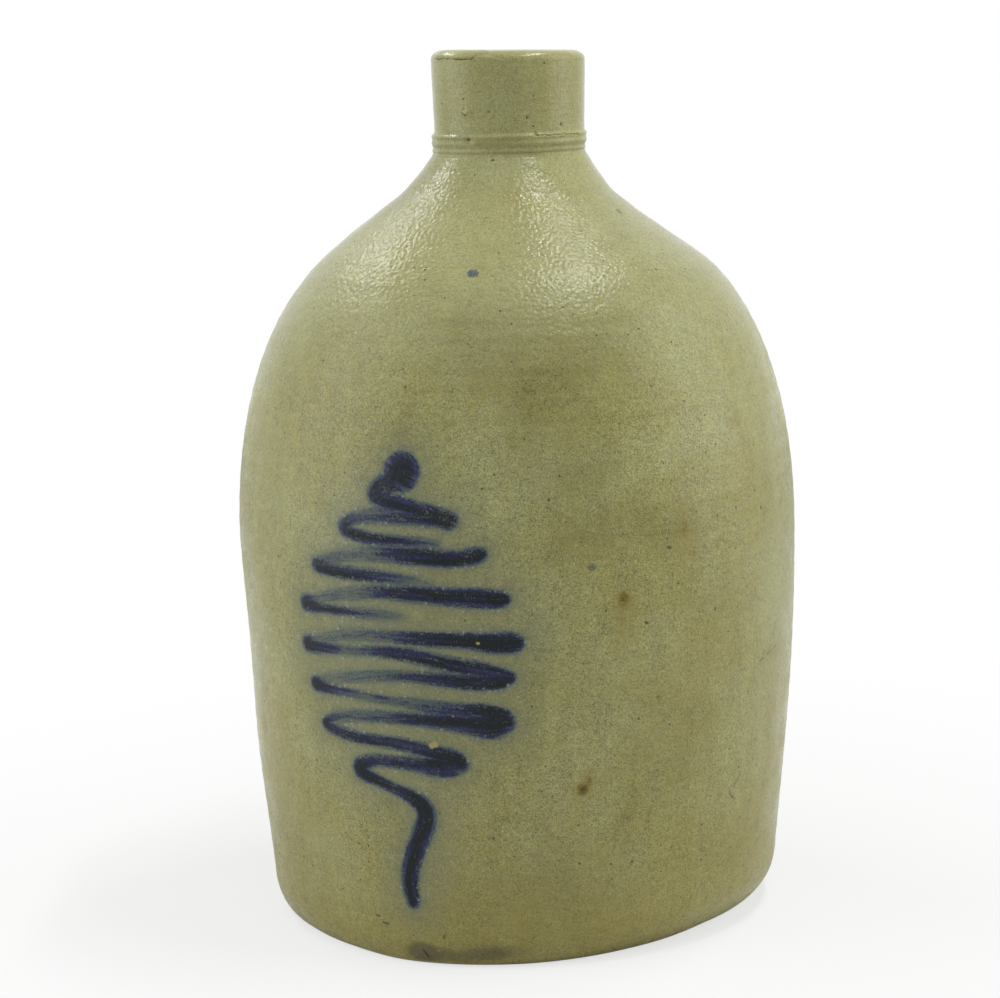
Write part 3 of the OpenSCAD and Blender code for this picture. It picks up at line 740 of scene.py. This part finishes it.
def clayColour(place):
    # khaki clay under salt glaze: broad and middle mottling, fine grain at three sizes, pepper, iron and smears;
    # painted sheen on the shoulder and towards the sides, painted highlight strips, painted shade round the collar, and
    # painted shadow lines under the rim's lip and under a pip
    tree, c = place.tree, clayColours
    up = axisOf(place, 2)
    broad, middle = noise(place, 38, 3, 0.6, 0.4), noise(place, 6.5, 4, 0.6)
    tint, fine, grain = noise(place, 3.1, 4, 0.7), noise(place, 1.5, 3, 0.7), noise(place, 0.55, 2, 0.7)
    colour = layered(
        mixed(between(broad, 0.36, 0.70, 0, 0.7), c["khaki"], c["pale"]), c,
        ("olive", between(middle, 0.45, 0.75, 0, 0.35)),
        ("ochre", between(tint, 0.50, 0.78, 0, 0.5)),
        ("bluish", between(tint, 0.46, 0.24, 0, 0.3)),
        ("ochre", between(up, 90, 12, 0, 0.22)),
        # painted sheen: the shoulder paler by height, as its highlights make it
        ("pale", between(up, 180, 212, 0, 0.38)))
    shade = swayed(
        0.0, (noise(place, 0.36, 1, 0.5), 1.75), (noise(place, 0.8, 2, 0.6), 1.2), (fine, 0.4), (middle, 0.5),
        (noise(stretched(place, (1, 1, 3.2)), 5, 3, 0.65), 0.4),  # lies flat, as the throwing does
        (noise(stretched(place, (1, 1, 0.2)), 6, 3, 0.6), 0.35))  # runs down
    shade = 1.0 + shade * between(up, 165, 215, 1.0, 0.62)
    colour = mixed(1.0, colour, shade, "MULTIPLY")
    ochre, pepper = attribute(tree, "ochre"), attribute(tree, "pepper")
    rust = ochre + fine * 0.8
    colour = layered(
        colour, c,
        # the pale places: the clay's own pale patches, with painted sheen towards the sides and painted highlight
        # strips
        ("pale", attribute(tree, "pale") * between(middle, 0.3, 0.6, 0.5, 1)),
        ("bluish", attribute(tree, "bluish") * 0.6),
        # the ochre and grey places, and the rust and iron that follow the ochre field, reach into the painted shade
        # round the collar
        ("ochre", ochre * between(fine, 0.3, 0.6, 0.35, 0.9)),
        ("rust", between(rust, 0.98, 1.26, 0, 0.8)),
        ("iron", between(rust, 1.24, 1.42, 0, 0.9)),
        ("grey", between(attribute(tree, "grey") + middle * 0.5, 0.42, 0.95, 0, 0.75)))
    # pepper: a smoky olive smudge with many faint grains where the value is high, and a few dark specks anywhere
    faint = between(noise(place, 0.8, 4, 0.75, 0.3) + pepper * 0.10, 0.58, 0.72)
    cells, chance = scattered(place, 3.3)
    speck = maths("LESS_THAN", cells + grain * 0.06, between(chance, 0.40, 1.0, 0.0, 0.14) + 0.02)
    colour = layered(
        colour, c,
        ("olive", pepper * between(middle, 0.35, 0.65, 0.15, 0.5)),
        ("pepper", faint * (pepper * 0.45 + 0.22)),
        ("pepper", speck * 0.75),
        # the dark flecks in the pepper colour, with painted shadow under the rim's lip and under the pip
        ("pepper", smallMarks(place, flecksAndPaintedShadows["dark"]) * 0.8))
    return colour, fine, grain


def inkOver(place, colour, cells):
    # lays the cobalt over a colour: grainy edge, dry streaks, blue body, dark pooled core, thinner on the peel's crests
    tree, c = place.tree, cobaltColours
    edge, wet, along, across = (attribute(tree, key) for key in ("inkEdge", "inkWet", "inkAlong", "inkAcross"))
    streak = noise(addNode(tree, "CombineXYZ", [along * 0.13, across * 1.05, 0.0]), 1, 3, 0.65)
    pool = noise(addNode(tree, "CombineXYZ", [along * 0.04, across * 0.62, 3.0]), 1, 1, 0.5)
    teeth, grit, ragged = noise(place, 0.9, 3, 0.7), noise(place, 0.5, 2, 0.6), noise(place, 2.4, 3, 0.65)
    out = swayed((0.43 - edge) * 4.0, (teeth, 3.0), (ragged, 2.2), (cells, -1.2))  # millimetres outside the stroke
    gritty = swayed(out, (grit, 3.4))
    hole = between(streak * 0.9 + grit * 0.75 + (1.0 - wet) * 0.31, 0.97, 1.10)  # where the brush ran dry
    cover = between(gritty, 0.85, -0.45) * (1.0 - hole * 0.85) * between(wet, -0.08, 0.22)
    depth = swayed(wet * 1.12, (streak, 0.8), (pool, 1.5), (teeth, 0.7), (grit, 0.7), (cells, 0.3))
    depth = depth - between(out, -0.8, 0.2, 0, 0.30)
    frosted = attribute(tree, "inkFrost") * between(noise(place, 0.6, 3, 0.8), 0.52, 0.66)
    ink = layered(
        mixed(between(depth, 0.22, 0.58), c["thin"], c["body"]), c,
        ("deep", between(depth, 0.58, 0.88)),
        ("core", between(depth, 0.84, 1.08)),
        ("frost", frosted * 0.6))
    haze = attribute(tree, "inkHalo") * between(ragged, 0.25, 0.65, 0.6, 1.0)
    fringe = between(gritty, 1.4, 0.1) * (between(wet, 0.0, 0.5) * 0.75)
    colour = mixed(cover, layered(colour, c, ("halo", haze * 0.95), ("fringe", fringe)), ink)
    grains, chance = scattered(place, 1.9)
    beads = between(grains, 0.33, 0.14) * between(chance, 0.35, 0.6)
    beads = beads * (between(out, -1.5, 0.2, 0.02, 1) * between(out, 1.9, 0.9))
    return layered(colour, c, ("bead", beads * 0.6), ("fleck", smallMarks(place, flecksAndPaintedShadows["onInk"]))), cover


glaze = {
    "peel": 1.35,  # millimetres from cell to cell of the orange peel
    "peelDepth": 0.17,
    "grainDepth": 0.05,
    "inkDepth": 0.03,
    "roughness": 0.26,
    "shine": 0.25,  # specular level
}


def newMaterial(name):
    material = bpy.data.materials.new(name)
    material.use_nodes = True
    material.node_tree.nodes.clear()
    return material


def finishShader(material, colour, height, roughness, shine):
    tree = material.node_tree
    shader = tree.nodes.new("ShaderNodeBsdfPrincipled")
    plug(tree, shader.inputs["Base Color"], colour)
    plug(tree, shader.inputs["Roughness"], roughness)
    bump = addNode(tree, "Bump", {"Height": height, "Strength": 1.0, "Distance": mm})
    plug(tree, shader.inputs["Normal"], bump)
    shader.inputs["Specular IOR Level"].default_value = shine
    shader.inputs["IOR"].default_value = 1.5
    addNode(tree, "OutputMaterial", [Value(tree, shader.outputs[0])])
    return material


def inkedClay(name):
    # what the clay and the cobalt film share: colour with the ink over it, and height in millimetres, which is
    # the salt glaze's orange peel, round cells with finer grain, deepest on the shoulder and faint on the spout
    material = newMaterial(name)
    place = millimetres(material.node_tree)
    colour, fine, grain = clayColour(place)
    cells = addNode(place.tree, "TexVoronoi",
                    {"Vector": place, "Scale": 1 / glaze["peel"], "Smoothness": 0.6}, feature="SMOOTH_F1")
    colour, cover = inkOver(place, colour, cells)
    up = axisOf(place, 2)
    share = between(up, 180, 212, 0.5, 1.35) * between(up, 238, 256, 1.0, 0.2)
    height = (cells * -glaze["peelDepth"] + fine * (glaze["peelDepth"] * 0.8)) * share
    height = height + grain * glaze["grainDepth"] + cover * glaze["inkDepth"]
    return material, place, colour, height, fine


def saltGlazedClay():
    # the thrown clay's skin, with the slip inside the bore and the pale bare foot
    material, place, colour, height, fine = inkedClay("saltGlazedClay")
    x, y, up = (axisOf(place, axis) for axis in range(3))
    bare = between(up + fine * 1.2, 1.9, 0.9) * 0.9
    bore = between(maths("SQRT", x * x + y * y), 16.6, 14.9) * between(up, 284.9, 282.0) * between(up, 200.0, 235.0)
    slip = mixed(noise(place, 3.5, 3), slipColours["dark"], slipColours["brown"])
    colour = mixed(bore, mixed(bare, colour, clayColours["barePale"]), slip)
    roughness = between(noise(place, 12, 3), 0.3, 0.7, glaze["roughness"] - 0.07, glaze["roughness"] + 0.1)
    roughness = roughness * between(up, 185, 215, 1.0, 0.62) + bare * 0.45
    return finishShader(material, colour, height, roughness, glaze["shine"])


def cobaltFilm():
    # the same wall seen where the brush passed
    material, _, colour, height, _ = inkedClay("cobaltSlip")
    return finishShader(material, colour, height, glaze["roughness"], glaze["shine"])


def brownSlip():
    # the glossy brown slip inside
    material = newMaterial("brownSlip")
    place = millimetres(material.node_tree)
    patches = noise(place, 9, 4)
    colour = mixed(between(patches, 0.35, 0.7), slipColours["dark"], slipColours["brown"])
    return finishShader(material, colour, noise(place, 2.2, 2) * 0.12, between(patches, 0.3, 0.7, 0.26, 0.42), 0.5)


materials = {"salt_glazed_clay": saltGlazedClay(), "cobalt_slip": cobaltFilm(), "brown_slip": brownSlip()}
print("materials made")


# the thrown pieces

jugColumns, spoutColumns = columnsOf(*clay["columns"]), columnsOf(0.4, 0.8)
jugSteps = (clay["rows"], clay["innerRows"], jugColumns)  # from row to row outside and inside, and the columns


def makeFloorDisc():
    # closed to the axis at both ends: hollow underside, foot rounding, flat top
    under = spaced(outerLines["underside"], 4 * mm, False)[1:-1]
    foot = spaced(outerLines["footLow"], clay["rows"])
    top = spaced(straightLine((foot[-1, 0], floorTop), (0, floorTop)), 6 * mm, False)[1:-1]
    rows = np.concatenate([under, foot, top])
    az, n, count = jugColumns[None], normalsOf(rows), len(jugColumns)
    grid = skinPoint(az, rows[:, :1], rows[:, 1:], n[:, :1], n[:, 1:])
    hollow, edge, inside = clay["hollow"]
    grid[:len(under), :, 2] += hollow * smooth(edge, inside, rows[:len(under), :1])
    poles = np.array([[0, 0, hollow], [0, 0, floorTop]])
    poles[:, 0] += swayAt(poles[:, 2])
    values = {key: np.append(value.ravel(), [0, 0]) for key, value in skinValues(az, rows[:, 1:] + 0 * az).items()}
    addPiece("floorDisc", "floor_disc", "salt_glazed_clay", np.concatenate([grid.reshape(-1, 3), poles]),
             tubeFaces(len(rows), count), ringEdges(len(under) + len(foot) - 1, count), values)


def makeThrown(name, node, outerNames, innerNames, step, innerStep, columns, fine=None):
    # the skin's rows upwards, then the inner rows downwards, closed into a loop
    outer = chained(outerLines, outerNames, step)
    inner = chained(innerLines, innerNames, innerStep, False)[::-1]
    if np.allclose(inner[0], outer[-1]):
        inner = inner[1:]
    az, n, count = columns[None], normalsOf(outer), len(columns)
    r, z = outer[:, :1], outer[:, 1:]
    skin = skinPoint(az, r, z, n[:, :1], n[:, 1:], fine(az, z) if fine else 0.0)
    grid = np.concatenate([skin, bent(az, inner[:, :1] + 0 * az, inner[:, 1:] + 0 * az)])
    values = {key: np.pad(value, ((0, len(inner)), (0, 0))) for key, value in skinValues(az, z + 0 * az).items()}
    sharp = [ringEdges(row, count) for row in (0, len(outer) - 1, len(outer), len(grid) - 1)]
    addPiece(name, node, "salt_glazed_clay", grid.reshape(-1, 3), loopFaces(len(grid), count),
             np.concatenate(sharp), values)


makeFloorDisc()
makeThrown("barrelWall", "barrel_wall", ["footHigh", "barrel"], ["cove", "barrel"], *jugSteps)
makeThrown("shoulderDome", "shoulder_dome", ["dome"], ["dome"], *jugSteps)
makeThrown("neckCone", "neck", ["neck"], ["neck"], 0.6 * mm, 1.5 * mm, columnsOf(0.6, 1.2), spoutRelief)
makeThrown("collarRing", "collar_ring", ["collar"], ["collar"], 0.16 * mm, 1.0 * mm, spoutColumns, spoutRelief)
makeThrown("spoutTube", "spout", ["spout", "rim"], ["spout"], 0.37 * mm, 1.5 * mm, spoutColumns, spoutRelief)


lining = {"gap": 0.1 * mm, "thick": 0.6 * mm, "rows": 2.5 * mm, "columns": 1.5}


def makeLining():
    # the slip inside: the clay's inner lines moved in by the gap, and again by the slip's thickness
    gap, thick = lining["gap"], lining["thick"]
    line = chained(innerLines, ["cove", "barrel", "dome", "neck"], lining["rows"], False)
    n = -normalsOf(line)
    rows = np.concatenate([line + n * gap, (line + n * (gap + thick))[::-1]])
    az = columnsOf(lining["columns"], lining["columns"])[None]
    grid = bent(az, rows[:, :1] + 0 * az, rows[:, 1:] + 0 * az).reshape(-1, 3)
    poles = [[swayAt(floorTop), 0, floorTop + gap], [swayAt(floorTop), 0, floorTop + gap + thick]]
    addPiece("slipLining", "slip_lining", "brown_slip", np.concatenate([grid, poles]),
             tubeFaces(len(rows), az.shape[1]))


makeLining()


# the strap handle

strap = {
    "width": 29 * mm,
    "thick": 8.6 * mm,
    "flare": 7 * mm,  # wider by this at both ends
    "rootDrop": 8 * mm,
    "out": 19 * mm,
    "rise": 11 * mm,
    "footDrop": 18 * mm,
    "groove": (1.0 * mm, 0.42, 0.17),  # depth, place and half width in shares of the strap's half width
    "ridge": 0.16 * mm,
    "tailDrop": 34 * mm,  # below the dome's top, where the tail runs out on the shoulder
    "tailSink": 1.8 * mm,
    "pressed": (0.76, 0.97),  # where along the strap it begins to wrap round the shoulder, and where it does fully
    "thumb": (0.90, 8.5 * mm, 2.6 * mm),  # place along the strap, radius, depth
    "length": 105 * mm,
    "rings": 190,
    "sides": 96,
}


def strapPath():
    # two joined Bezier curves: out of the neck and over, then down on to the shoulder; at equal steps, with normals
    topZ, footZ = neckTop + strap["rise"], domeTop - strap["footDrop"]
    midZ = topZ + (footZ - topZ) * 0.42
    highZ = midZ + (topZ - midZ) * 1.36
    reach = domeRadius + strap["out"]
    root = (clay["neckRadius"] - wall / 2, neckTop - strap["rootDrop"])
    dome, sink = outerLines["dome"], strap["tailSink"]
    tailZ = domeTop - strap["tailDrop"]
    tail, above = (np.array([np.interp(z, dome[:, 1], dome[:, 0]) - sink, z]) for z in (tailZ, tailZ + 8 * mm))
    slope = above - tail
    fall = (midZ - tailZ) * 0.33
    over = bezierLine([root, (root[0] + (reach - root[0]) / 3, highZ), (reach, highZ), (reach, midZ)])
    down = bezierLine([(reach, midZ), (reach, midZ - fall), tail + slope * 0.75 * fall / np.linalg.norm(slope), tail])
    line = np.concatenate([over, down[1:]])
    run = np.linspace(0, 1, strap["rings"])
    path = np.stack([np.interp(run, np.linspace(0, 1, len(line)), line[:, k]) for k in (0, 1)], 1)
    step = np.gradient(path, axis=0)
    step /= np.linalg.norm(step, axis=1, keepdims=True)
    return path, np.stack([-step[:, 1], step[:, 0]], 1), run[:, None], tail[0]


def makeStrap():
    # section = superellipse (cos^p, sin^p) with two grooves outside, carried along the path
    path, up, t, tailRadius = strapPath()
    a = np.linspace(0, 2 * np.pi, strap["sides"], endpoint=False)[None]
    low = smooth(*strap["pressed"], t)
    bend = 0.55 + 0.45 * low
    width = (strap["width"] + strap["flare"] * ((1 - t) ** 6 + t ** 5)) / 2 * (1 + 0.012 * np.sin(9 * t + 1))
    thick = strap["thick"] * (1 + 0.3 * (1 - t) ** 4 - 0.78 * smooth(0.74, 1, t)) / 2
    x, y = [np.sign(v) * np.abs(v) ** bend for v in (np.cos(a), np.sin(a))]
    outside = smooth(-0.1, 0.4, np.sin(a))
    depth, place, half = strap["groove"]
    groove = depth * (np.exp(-((x - place) / half) ** 2) + np.exp(-((x + place) / half) ** 2))
    ridge = strap["ridge"] * np.sin(x * 21 + 2 * np.sin(5 * t)) * np.abs(np.sin(a))
    lift = y * thick - groove * outside * (1 - 0.4 * t) * (1 - low) + ridge
    place, radius, depth = strap["thumb"]
    far = ((t - place) * strap["length"]) ** 2 + (x * width) ** 2
    lift = lift - depth * np.exp(-far / radius ** 2) * outside
    side = x * width + 0.25 * mm * np.sin(14 * t + 3 * x)
    lift = lift - low * side ** 2 / (2 * tailRadius)
    points = np.stack([side + swayAt(path[:, 1:]), path[:, :1] + up[:, :1] * lift, path[:, 1:] + up[:, 1:] * lift], -1)
    rings, sides = strap["rings"], strap["sides"]
    faces = loopFaces(rings, sides, closedRows=False)[:, ::-1].tolist()
    faces.append(list(range(sides)))
    faces.append(list(range((rings - 1) * sides, rings * sides))[::-1])
    values = {"ochre": 0.25 * smooth(0.75, 1, t) + 0 * a, "pepper": 0.3 + 0 * (t + a)}
    addPiece("strapHandle", "strap_handle", "salt_glazed_clay", points.reshape(-1, 3), faces, None, values)


makeStrap()


# the cobalt as its own thin film on the wall

def makeZigzag():
    # a closed film on the cells whose four corners are within reach of a stroke: top on the wall, underside in it
    s, z = np.meshgrid(*(np.arange(*ends, cobalt["film"]) for ends in cobalt["field"]))
    gap = inkAt(s, z)["gap"]
    inside = gap < cobalt["margin"]
    rise = np.interp(gap, [-3, -1.2, 0, cobalt["margin"]], [0.11, 0.07, 0.0, -0.02])  # thicker in a stroke's middle
    cell = inside[:-1, :-1] & inside[1:, :-1] & inside[:-1, 1:] & inside[1:, 1:]
    for _ in range(4):  # fills cells that touch another only at a corner
        a, b, c, d = cell[:-1, :-1], cell[1:, 1:], cell[1:, :-1], cell[:-1, 1:]
        cross = (a & b & ~c & ~d) | (c & d & ~a & ~b)
        for corner in (a, b, c, d):
            corner |= cross
    columns = inside.shape[1]
    i, j = np.nonzero(cell)
    corners = np.stack([i * columns + j, i * columns + j + 1, (i + 1) * columns + j + 1, (i + 1) * columns + j], 1)
    used, flat = np.unique(corners, return_inverse=True)
    top, count = flat.reshape(-1, 4), len(used)
    azimuth = cobalt["middle"] + np.degrees(s.ravel()[used] * mm / bellyRadius)
    height = z.ravel()[used] * mm
    points = [wallPlaces(azimuth, height, lift) for lift in (rise.ravel()[used] * mm, -cobalt["sunk"])]
    pairs = np.concatenate([top[:, [k, (k + 1) % 4]] for k in range(4)])
    _, first, times = np.unique(np.sort(pairs, 1) @ np.array([count, 1]), return_index=True, return_counts=True)
    border = pairs[first[times == 1]]
    side = np.stack([border[:, 1], border[:, 0], border[:, 0] + count, border[:, 1] + count], 1)
    values = {key: np.tile(value, 2) for key, value in skinValues(azimuth, height).items()}
    addPiece("cobaltZigzag", "cobalt_zigzag", "cobalt_slip", np.concatenate(points),
             np.concatenate([top, top[:, ::-1] + count, side]), border, values)


makeZigzag()


def makeDrops():
    # each drop is a small closed cap: rings round its middle, laid on the wall, and the same rings sunk in it
    points, faces, values = [], [], {"inkEdge": [], "inkWet": []}
    rings, sides = 4, 24
    spins = np.arange(sides) / sides * 2 * np.pi
    share, spin = np.meshgrid(np.arange(1, rings + 1) / rings, spins, indexing="ij")
    quads, fan = capFaces(rings, sides)
    for place, height, radius, flat, wet in cobalt["drops"]:
        reach = (radius * (1 + 0.12 * np.sin(3 * spin + height)) + cobalt["margin"]) * share
        z = np.append((height + reach * flat * np.sin(spin)).ravel(), height) * mm
        middle = math.hypot(*wallPlaces(np.array([place]), np.array([height * mm]))[0][:2])
        azimuth = place + np.degrees(np.append((reach * np.cos(spin)).ravel(), 0) * mm / middle)
        gap = np.append((reach - radius).ravel(), -radius)
        start, count = sum(map(len, points)), len(z)
        for lift in (np.interp(gap, [-1.5, 0, cobalt["margin"]], [0.06, 0.0, -0.02]) * mm, -cobalt["dropSunk"]):
            points.append(wallPlaces(azimuth, z, lift))
            values["inkEdge"].append(np.clip(0.5 - gap / 4, 0, 1))
            values["inkWet"].append(wet * smooth(0.8, -1.0, gap))
        edge, onward = ringEdges(rings - 1, sides).T
        side = np.stack([edge, edge + count, onward + count, onward], 1)
        for part in (quads, fan, quads[:, ::-1] + count, fan[:, ::-1] + count, side):
            faces += (part + start).tolist()
    values = {key: np.concatenate(value) for key, value in values.items()}
    addPiece("cobaltDrops", "cobalt_drops", "cobalt_slip", np.concatenate(points), faces, None, values)


makeDrops()


# floor, lamps, world and camera

stageSizes = {
    "floorRadius": 1.6,
    "floorGap": 0.2 * mm,
    "fade": (0.12, 0.40, 0.68, 1.0),  # from and to which radius the floor fades into white, from and to which share
}
lamps = {  # direction from the jug's middle (x right, y back, z up), distance, size, watts
    "leftSoftbox": ((-0.93, -0.12, 0.36), 1.3, (1.0, 1.3), 7.2),
    "rightSoftbox": ((0.93, -0.10, 0.34), 1.3, (1.0, 1.3), 8.1),
    "overheadStrip": ((0.32, 0.0, 0.93), 1.1, (0.66, 0.07), 5.2),
    "leftBackStrip": ((-0.53, 0.46, 0.70), 1.1, (0.5, 0.10), 2.4),
    "overheadFill": ((-0.10, -0.45, 0.89), 1.4, (1.3, 1.0), 3.8),
}
worldLight = 0.256
cameraPlace = {
    "distance": 0.950,
    "height": 0.2911,
    "focal": 103.03,  # focal length and sensor width in millimetres
    "sensor": 36,
    "roll": 1.67,  # degrees
    "nudge": (0.0159, 0.0197),  # how far the picture's middle is moved, right and up, in sensor widths
}


def makeFloor():
    # a flat disc: radius and azimuth; the camera sees it fade into the white round it
    rings, count, gap = 23, 96, stageSizes["floorGap"]
    r = (np.linspace(0, 1, rings + 1) ** 1.5 * stageSizes["floorRadius"])[1:, None]
    a = np.linspace(0, 2 * np.pi, count, endpoint=False)[None]
    points = np.stack([r * np.cos(a), r * np.sin(a), 0 * r * a - gap], -1).reshape(-1, 3)
    quads, fan = capFaces(rings, count)
    floor = buildMesh("paleFloor", np.concatenate([points, [[0, 0, -gap]]]), quads.tolist() + fan.tolist())
    material = newMaterial("paleFloor")
    tree = material.node_tree
    far = vectors("LENGTH", addNode(tree, "TexCoord", out=3), out=1)
    paint = addNode(tree, "BsdfDiffuse", {"Color": (0.85, 0.85, 0.85, 1)})
    white = addNode(tree, "Emission", {"Color": (1, 1, 1, 1), "Strength": 1.0})
    share = addNode(tree, "LightPath", out="Is Camera Ray") * between(far, *stageSizes["fade"])
    addNode(tree, "OutputMaterial", [addNode(tree, "MixShader", [share, paint, white])])
    floor.data.materials.append(material)


def makeLamps():
    middle = np.array([0, 0, rimHeight / 2])
    for name, (direction, distance, size, watts) in lamps.items():
        light = bpy.data.lights.new(name, "AREA")
        light.shape, light.size, light.size_y = "RECTANGLE", *size
        light.energy = watts
        lamp = bpy.data.objects.new(name, light)
        bpy.context.scene.collection.objects.link(lamp)
        way = np.array(direction) / np.linalg.norm(direction) * distance
        lamp.location = (middle + way).tolist()
        lamp.rotation_euler = Vector((-way).tolist()).to_track_quat("-Z", "Y").to_euler()


def makeWorld():
    # dim for light, white where the camera, a reflection or a refraction looks
    world = bpy.data.worlds.new("studio")
    world.use_nodes = True
    tree = world.node_tree
    tree.nodes.clear()
    looks = [addNode(tree, "LightPath", out=f"Is {ray} Ray") for ray in ("Camera", "Glossy", "Transmission")]
    seen = maths("MAXIMUM", maths("MAXIMUM", *looks[:2]), looks[2])
    dim, white = (addNode(tree, "Background", {"Color": (1, 1, 1, 1), "Strength": strength})
                  for strength in (worldLight, 1.0))
    addNode(tree, "OutputWorld", [addNode(tree, "MixShader", [seen, dim, white])])
    bpy.context.scene.world = world


def makeCamera():
    # looks at the jug's middle, rolled, then turned a little so that the jug sits as in the frame
    c = cameraPlace
    data = bpy.data.cameras.new("view")
    data.lens, data.sensor_width = c["focal"], c["sensor"]
    camera = bpy.data.objects.new("view", data)
    bpy.context.scene.collection.objects.link(camera)
    place = Vector((0, -c["distance"], c["height"]))
    ahead = (Vector((0, 0, rimHeight / 2)) - place).normalized()
    right = Vector((1, 0, 0))
    up = right.cross(ahead)
    turn = math.radians(c["roll"])
    right, up = math.cos(turn) * right - math.sin(turn) * up, math.sin(turn) * right + math.cos(turn) * up
    ahead = (ahead * c["focal"] / c["sensor"] - c["nudge"][0] * right - c["nudge"][1] * up).normalized()
    right = (right - right.dot(ahead) * ahead).normalized()
    up = right.cross(ahead)
    camera.matrix_world = Matrix.Translation(place) @ Matrix((right, up, -ahead)).transposed().to_4x4()
    bpy.context.scene.camera = camera


makeFloor()
makeLamps()
makeWorld()
makeCamera()
bpy.context.scene.view_settings.view_transform = "Standard"
print("stage ready")
